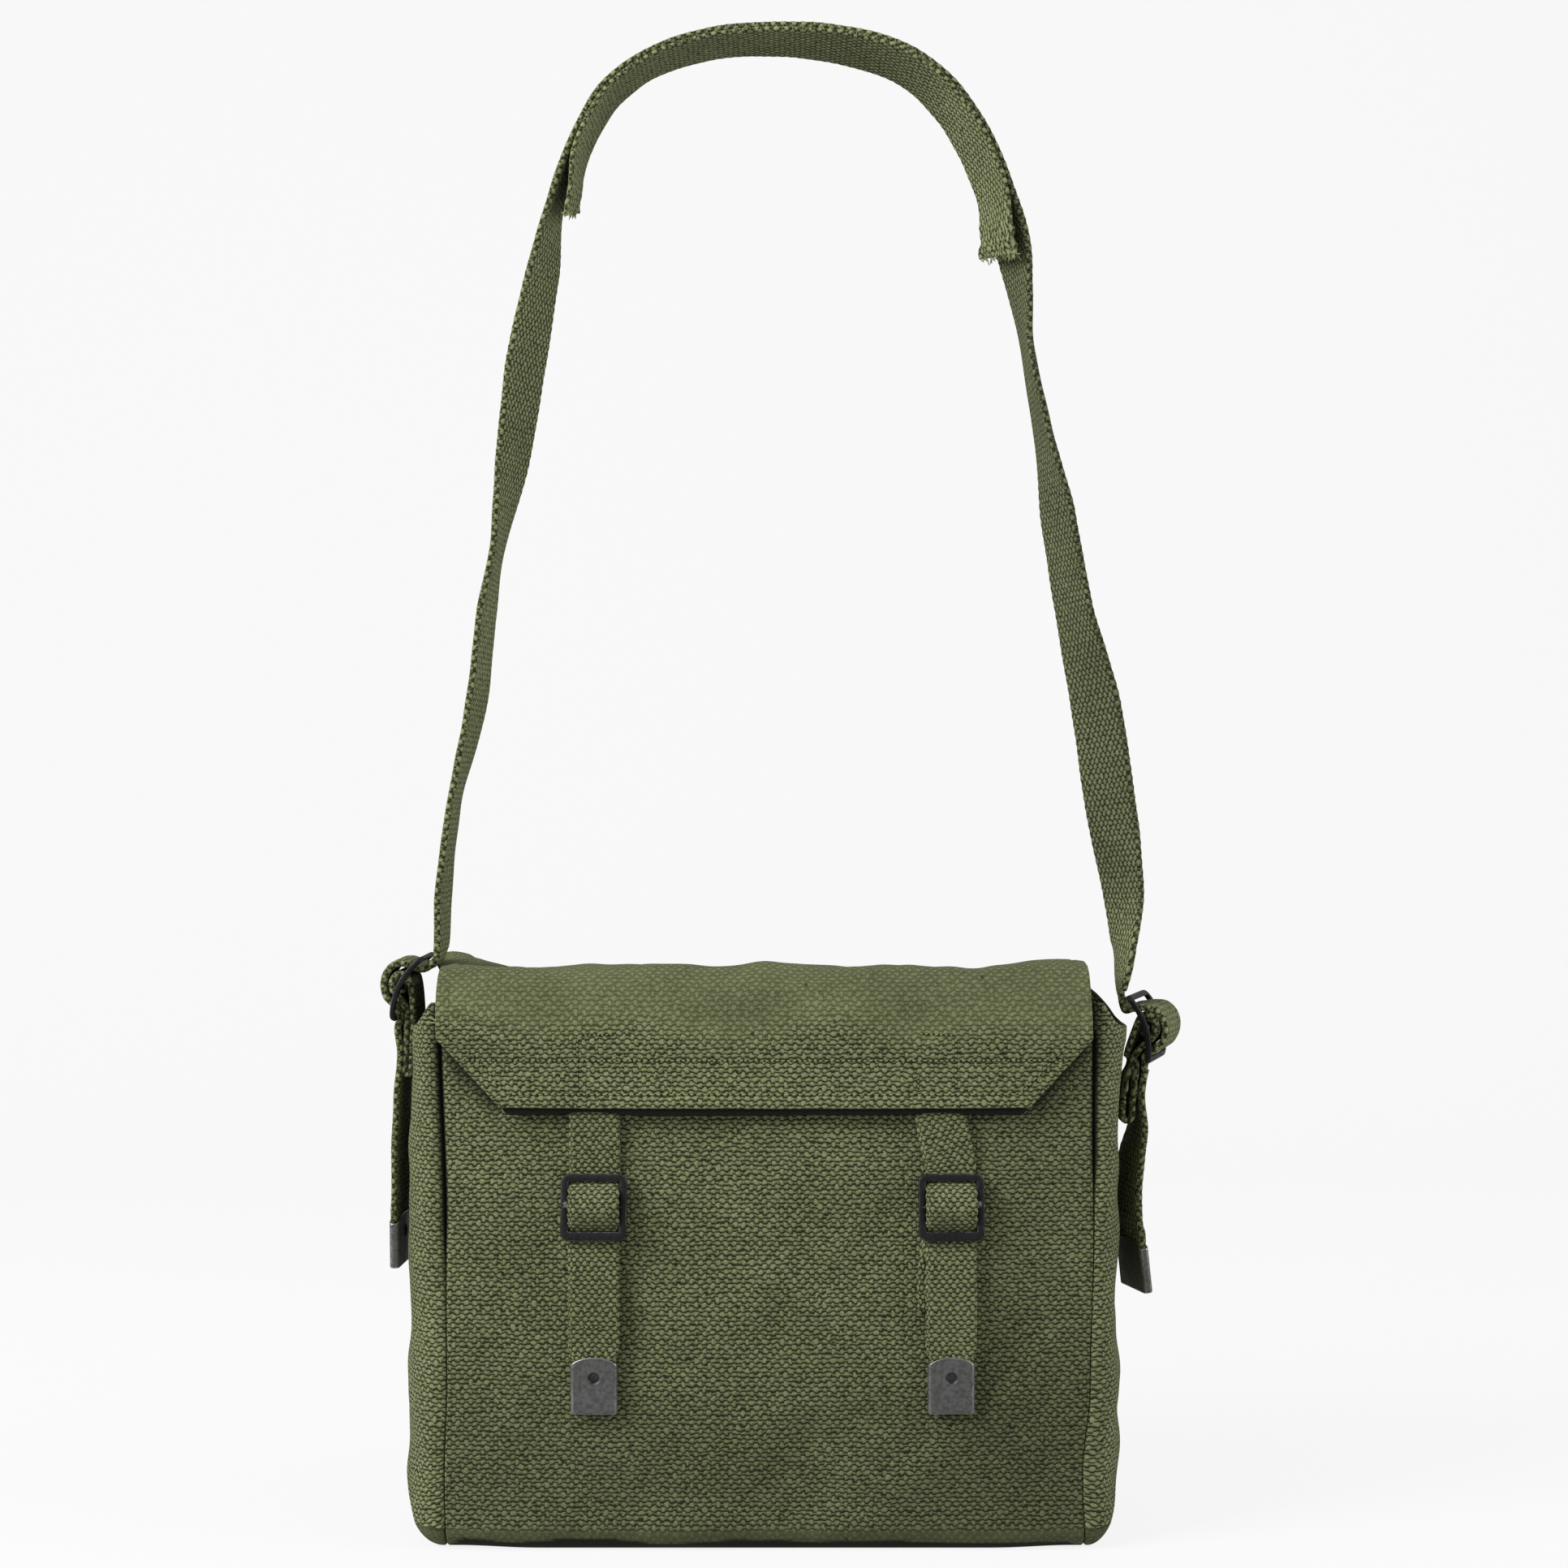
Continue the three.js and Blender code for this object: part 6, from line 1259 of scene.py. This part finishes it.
def strapRound(row):
    _, _, _, _, half, bow, onFrame = sideFrame(row)
    reach = sideSet["middleBar"] + bag["gap"] + sideSet["chape"] + row["roll"] + bag["gap"] + strapSet["thickness"] / 2
    top = onFrame(half, -bow)
    h = sideSet["height"]
    fromTop = []
    for (o, u), share in zip(row["fromTop"], (0.0, 0.25, 0.6, 0.9)):
        spot, _, width = byBuckle(row, (top[0] + o * h, top[1] + u * h), strapSet["width"])
        a = mix(-row["enter"], row["turn"], share) * degrees
        fromTop.append((spot, np.array([row["side"] * math.sin(a), math.cos(a), 0]), width))
    turns = [(row["shift"][0] + reach * math.cos(a * degrees), row["shift"][1] + reach * row["rise"] * math.sin(a * degrees)) for a in (98, 66, 32, 0, -34, -66)]
    last = [onFrame(-half * 0.84, -bow - strapAtFrame * 0.66), onFrame(-half, -bow - strapAtFrame * 1.06 - row["tuck"] * 0.4),
            onFrame(-half * 1.2, -bow - strapAtFrame * 1.15 - row["tuck"])]
    under = []
    for at, share in zip(last, (0.3, 0.7, 1.0)):
        a = mix(row["turn"], min(row["turn"], 2), share) * degrees
        under.append((byBuckle(row, at, 0)[0], np.array([row["side"] * math.sin(a), math.cos(a), 0]), strapSet["width"]))
    return fromTop + [byBuckle(row, at, strapSet["width"]) for at in turns] + under


def tipLine(row):
    off, up, turn = row["tailEnd"]
    near = bag["gap"] + strapSet["thickness"] / 2
    before = row["tail"][-1][0]
    lower = byGusset(row, near + off * strapSet["thickness"], up * bag["height"], turn, strapSet["width"])
    upper = byGusset(row, near + mix(off, before, 0.6) * strapSet["thickness"], up * bag["height"] + strapSet["tip"], turn, strapSet["width"])
    along = unit(upper[0] - lower[0])
    return (lower[0], unit(lower[1] - along * np.dot(lower[1], along)), lower[2]), upper


def tailControls(row):
    near = bag["gap"] + strapSet["thickness"] / 2
    hang = [byGusset(row, near + off * strapSet["thickness"], up * bag["height"], turn, strapSet["width"]) for off, up, turn in row["tail"]]
    return hang + straightEnd(*tipLine(row), strapSet["width"], strapSet["tip"], closingSet["plate"])


def freeControls():
    places = np.array([(a * strapSet["spread"], 0, bag["height"] + u * strapSet["rise"]) for a, u, _ in strapTable])
    made = []
    for i, (_, _, turn) in enumerate(strapTable):
        along = unit(places[min(len(places) - 1, i + 1)] - places[max(0, i - 1)])
        inwards = np.array([along[2], 0, -along[0]])
        made.append((places[i], np.array([0, math.cos(turn * degrees), 0]) + inwards * math.sin(turn * degrees), strapSet["width"]))
    return made


def makeShoulderStrap():
    left, right = sides
    leftEnd = (strapRound(left) + tailControls(left))[::-1]
    rightEnd = strapRound(right) + tailControls(right)
    sections = evenSections(leftEnd + freeControls() + rightEnd, 0.85)
    points, faces, corners, marks = webbingBand(*sections, strapSet["woven"], bead=0.75, beadPitch=4.8, flats=10, ridge=0.14)
    # the strap's colour is darker on its right side, between these heights
    marks["shade"] = strapSet["darker"] * (points[:, 0] > 0) * ramp(points[:, 2], 296, 340) * (1 - ramp(points[:, 2], 620, 720))
    return makePiece("shoulderStrap", points, faces, corners, webCloth, ["shoulder_strap"], marks=marks)


def makePad():
    middles, ways, widths, run = evenSections(freeControls(), 0.9)
    along, side, face = bandFrame(middles, ways)
    # the pad starts and ends at the same rows of the table as its solid does
    whole = curveThrough([c[0] for c in freeControls()], 24)
    lengths = np.concatenate([[0], np.cumsum(np.linalg.norm(np.diff(whole, axis=0), axis=1))])
    first, last = lengths[strapSet["padFrom"] * 24], lengths[strapSet["padTo"] * 24]
    keep = (run >= first) & (run <= last)
    t = (run[keep] - first) / (last - first)
    end = ramp(np.abs(2 * t - 1), 0.8, 1.0)
    off = strapSet["thickness"] / 2 + bag["gap"] + strapSet["padThickness"] / 2
    middle = middles[keep] - face[keep] * (off + strapSet["padFlare"] * end)[:, None]
    width = np.full(len(t), strapSet["padWidth"])
    points, faces, corners, marks = webbingBand(middle, side[keep], width, run[keep] - first, strapSet["padThickness"], bead=0.6, beadPitch=4.6, flats=12, ridge=0.15)
    # its front edge hangs lower at both ends, so they look cut off level
    hang = np.repeat(ramp(np.abs(2 * t - 1), padEnd["from"], 1.0), len(points) // len(t))
    points[:, 2] -= padEnd["hang"] * hang * (0.5 - points[:, 1] / strapSet["padWidth"])
    points = points + np.repeat(face[keep], len(points) // len(t), axis=0) * (0.9 * hang * ripples(points[:, 1], points[:, 2], 9, 61))[:, None]
    makePiece("shoulderPad", points, faces, corners, webCloth, ["shoulder_pad"], marks=marks)
    frayEnds(points, len(t), along[keep])


padEnd = {"from": 0.86, "hang": 9.0, "yarns": 46, "length": (1.6, 4.2)}


# Loose yarns stand out of the pad's raw ends.
def frayEnds(points, count, along):
    dice = np.random.default_rng(71)
    size = len(points) // count
    lines = []
    for row, way in ((0, -along[0]), (count - 1, along[-1])):
        rim = points[row * size:(row + 1) * size]
        for _ in range(padEnd["yarns"]):
            start = rim[dice.integers(size)] * 0.8 + rim[dice.integers(size)] * 0.2
            reach = dice.uniform(*padEnd["length"])
            aim = unit(way + dice.normal(0, 0.38, 3))
            curl = unit(dice.normal(0, 1, 3)) * reach * 0.3
            lines.append([start - aim * 0.8 + aim * reach * k + curl * k * k for k in np.linspace(0, 1, 5)])
    makeThreads("padYarns", lines, 0.3, threadCloth, sides=5)


def makeSideChape(row):
    _, _, _, _, half, bow, onFrame = sideFrame(row)
    bar = sideFrame(row)[0]
    width = strapSet["width"] - 1
    loop = (sideSet["middleBar"] + bag["gap"] + sideSet["chape"] / 2) * row["bulk"]
    outer = chapeInner + sideSet["chape"] * (1 + row["open"]) + bag["gap"]
    foldRadius = (outer - chapeInner) / 2
    foldZ = row["fold"] * bag["height"] + foldRadius + sideSet["chape"] / 2
    meet = foldZ + 9
    touch = min(bag["gussetRim"] - 4, bar[2] - half * 1.8)
    onGusset = lambda out, z: byGusset(row, out, z, 0, width)
    behind = -bow - strapAtFrame * 1.06 - strapSet["thickness"] / 2 - 4 * bag["gap"] - sideSet["chape"] / 2
    past = onFrame(-half, behind - row["tuck"] * 0.6)
    turns = [(loop * math.cos(a * degrees), 1.2 * loop * math.sin(a * degrees)) for a in (165, 126, 87, 48, 9, -30, -58)]
    fold = [onGusset((outer + chapeInner) / 2 + foldRadius * math.cos(a * degrees), foldZ + foldRadius * math.sin(a * degrees)) for a in (0, -60, -120, -180)]
    controls = [onGusset(chapeInner, meet), onGusset(chapeInner, mix(meet, touch, 0.5)), onGusset(chapeInner, touch),
                byBuckle(row, (past[0] - sideSet["chape"] - 4 * bag["gap"], past[1]), width)]
    controls += [byBuckle(row, at, width) for at in turns]
    controls += [byBuckle(row, onFrame(-half * 0.66, behind * 0.78), width), byBuckle(row, past, width), onGusset(outer, touch),
                 onGusset(outer, mix(touch, foldZ, 0.55)), *fold, onGusset(chapeInner, meet - sideSet["chape"] / 2)]
    sections = evenSections(controls, 0.9)
    points, faces, corners, marks = webbingBand(*sections, sideSet["woven"], bead=0.7, beadPitch=4.6, flats=10)
    # painted shade on the chape where it runs from the buckle to the gusset's top
    marks["shade"] = 0.35 * ramp(np.hypot(points[:, 0] - bar[0], points[:, 2] - bar[2]), loop * 2.4, loop * 3.2) * ramp(points[:, 2], touch - 30, touch - 10)
    makePiece("sideChape" + row["name"], points, faces, corners, webCloth, ["side_chape_" + row["node"]], marks=marks)
    # its inner layer, wound on the bar, painted dark as the shade inside the roll
    core = (sideSet["middleBar"] + loop) / 2
    wound = [byBuckle(row, (core * math.cos(a * degrees), 1.15 * core * math.sin(a * degrees)), width - 1) for a in range(205, -150, -35)]
    points, faces, corners, marks = webbingBand(*evenSections(wound, 0.9), loop - sideSet["middleBar"] - 1, bead=0.3, beadPitch=4.6, flats=8)
    marks["shade"] = np.full(len(points), 0.72)
    makePiece("sideChapeCore" + row["name"], points, faces, corners, webCloth, marks=marks)


def makeSideBuckle(row):
    bar, _, _, tilt, _, bow, _ = sideFrame(row)
    width = strapSet["width"] + 2 * (sideSet["bar"] + 1)
    points, faces, marks = buckleParts(width, sideSet["height"], sideSet["bar"], sideSet["steel"], sideSet["middleBar"], bow, 2.2)
    yaw = row["side"] * math.pi / 2 - row["side"] * row["turn"] * degrees
    makePiece("sideBuckle" + row["name"], turned(points, -tilt, yaw, bar), faces, None, blackMetal, ["side_buckle_" + row["node"]], marks=marks)


makeShoulderStrap()
makePad()
for row in sides:
    makeSideChape(row)
    makeSideBuckle(row)
    makeTip("strapTip" + row["name"], "strap_tip_" + row["node"], strapSet["width"] - closingSet["tipNarrowing"], strapSet["tip"], strapSet["thickness"], *tipLine(row))
print("shoulder strap made")


stageSet = {"floor": 0.1, "seen": 0.86, "given": 0.38, "world": 0.31,
            "lights": [("keyLight", (-2.1, -1.25, 0.95), (1.3, 1.6), 80), ("sideLight", (2.2, -0.6, 0.4), (1.1, 1.6), 27), ("topLight", (-0.1, -0.6, 1.5), (1.6, 1.2), 3)]}


def areaLight(name, place, target, size, power, colour=(1, 1, 1)):
    data = bpy.data.lights.new(name, "AREA")
    data.shape = "RECTANGLE"
    data.size, data.size_y = size
    data.energy = power
    data.color = colour
    light = bpy.data.objects.new(name, data)
    light.location = place
    light.rotation_euler = (Vector(target) - Vector(place)).to_track_quat("-Z", "Y").to_euler()
    scene.collection.objects.link(light)


def makeStage():
    floorZ = -bag["hangHeight"] / 1000 - 0.0004
    # floor that curves up into a backdrop
    profile = [(-3.0, 0.0), (1.2, 0.0)] + [(1.2 + 1.2 * math.sin(a), 1.2 - 1.2 * math.cos(a)) for a in np.linspace(0, math.pi / 2, 24)[1:]] + [(2.4, 3.6)]
    points = [(x, y, floorZ + z) for y, z in profile for x in (-5.0, 5.0)]
    faces = [(2 * i, 2 * i + 1, 2 * i + 3, 2 * i + 2) for i in range(len(profile) - 1)]
    mesh = bpy.data.meshes.new("sweep")
    mesh.from_pydata(points, [], faces)
    mesh.shade_smooth()
    material = bpy.data.materials.new("paleSweep")
    material.use_nodes = True
    floorTree = material.node_tree
    shader = floorTree.nodes["Principled BSDF"]
    shader.inputs["Base Color"].default_value = (*[stageSet["floor"]] * 3, 1)
    shader.inputs["Roughness"].default_value = 0.9
    shader.inputs["Specular IOR Level"].default_value = 0.0
    shader.inputs["Emission Color"].default_value = (1, 1, 1, 1)
    seen = floorTree.nodes.new("ShaderNodeLightPath").outputs["Is Camera Ray"]
    floorTree.links.new(remap(floorTree, seen, 0.0, 1.0, stageSet["given"], stageSet["seen"], "LINEAR"), shader.inputs["Emission Strength"])
    mesh.materials.append(material)
    sweep = bpy.data.objects.new("sweep", mesh)
    scene.collection.objects.link(sweep)

    world = bpy.data.worlds.new("studio")
    scene.world = world
    world.use_nodes = True
    tree = world.node_tree
    background = tree.nodes["Background"]
    background.inputs["Color"].default_value = (1, 1, 1, 1)
    seen = tree.nodes.new("ShaderNodeLightPath").outputs["Is Camera Ray"]
    tree.links.new(remap(tree, seen, 0.0, 1.0, stageSet["world"], stageSet["seen"], "LINEAR"), background.inputs["Strength"])

    middle = (0, 0, -0.45)
    for name, place, size, power in stageSet["lights"]:
        areaLight(name, place, middle, size, power)

    lens = bpy.data.cameras.new("photoCamera")
    lens.sensor_width = 36
    lens.lens = 60.56
    camera = bpy.data.objects.new("photoCamera", lens)
    camera.location = (0.0094, -1.355, -0.37995)
    camera.rotation_euler = (math.pi / 2, 0, 0)
    scene.collection.objects.link(camera)
    scene.camera = camera
    scene.view_settings.view_transform = "Standard"


makeStage()
print("stage made")
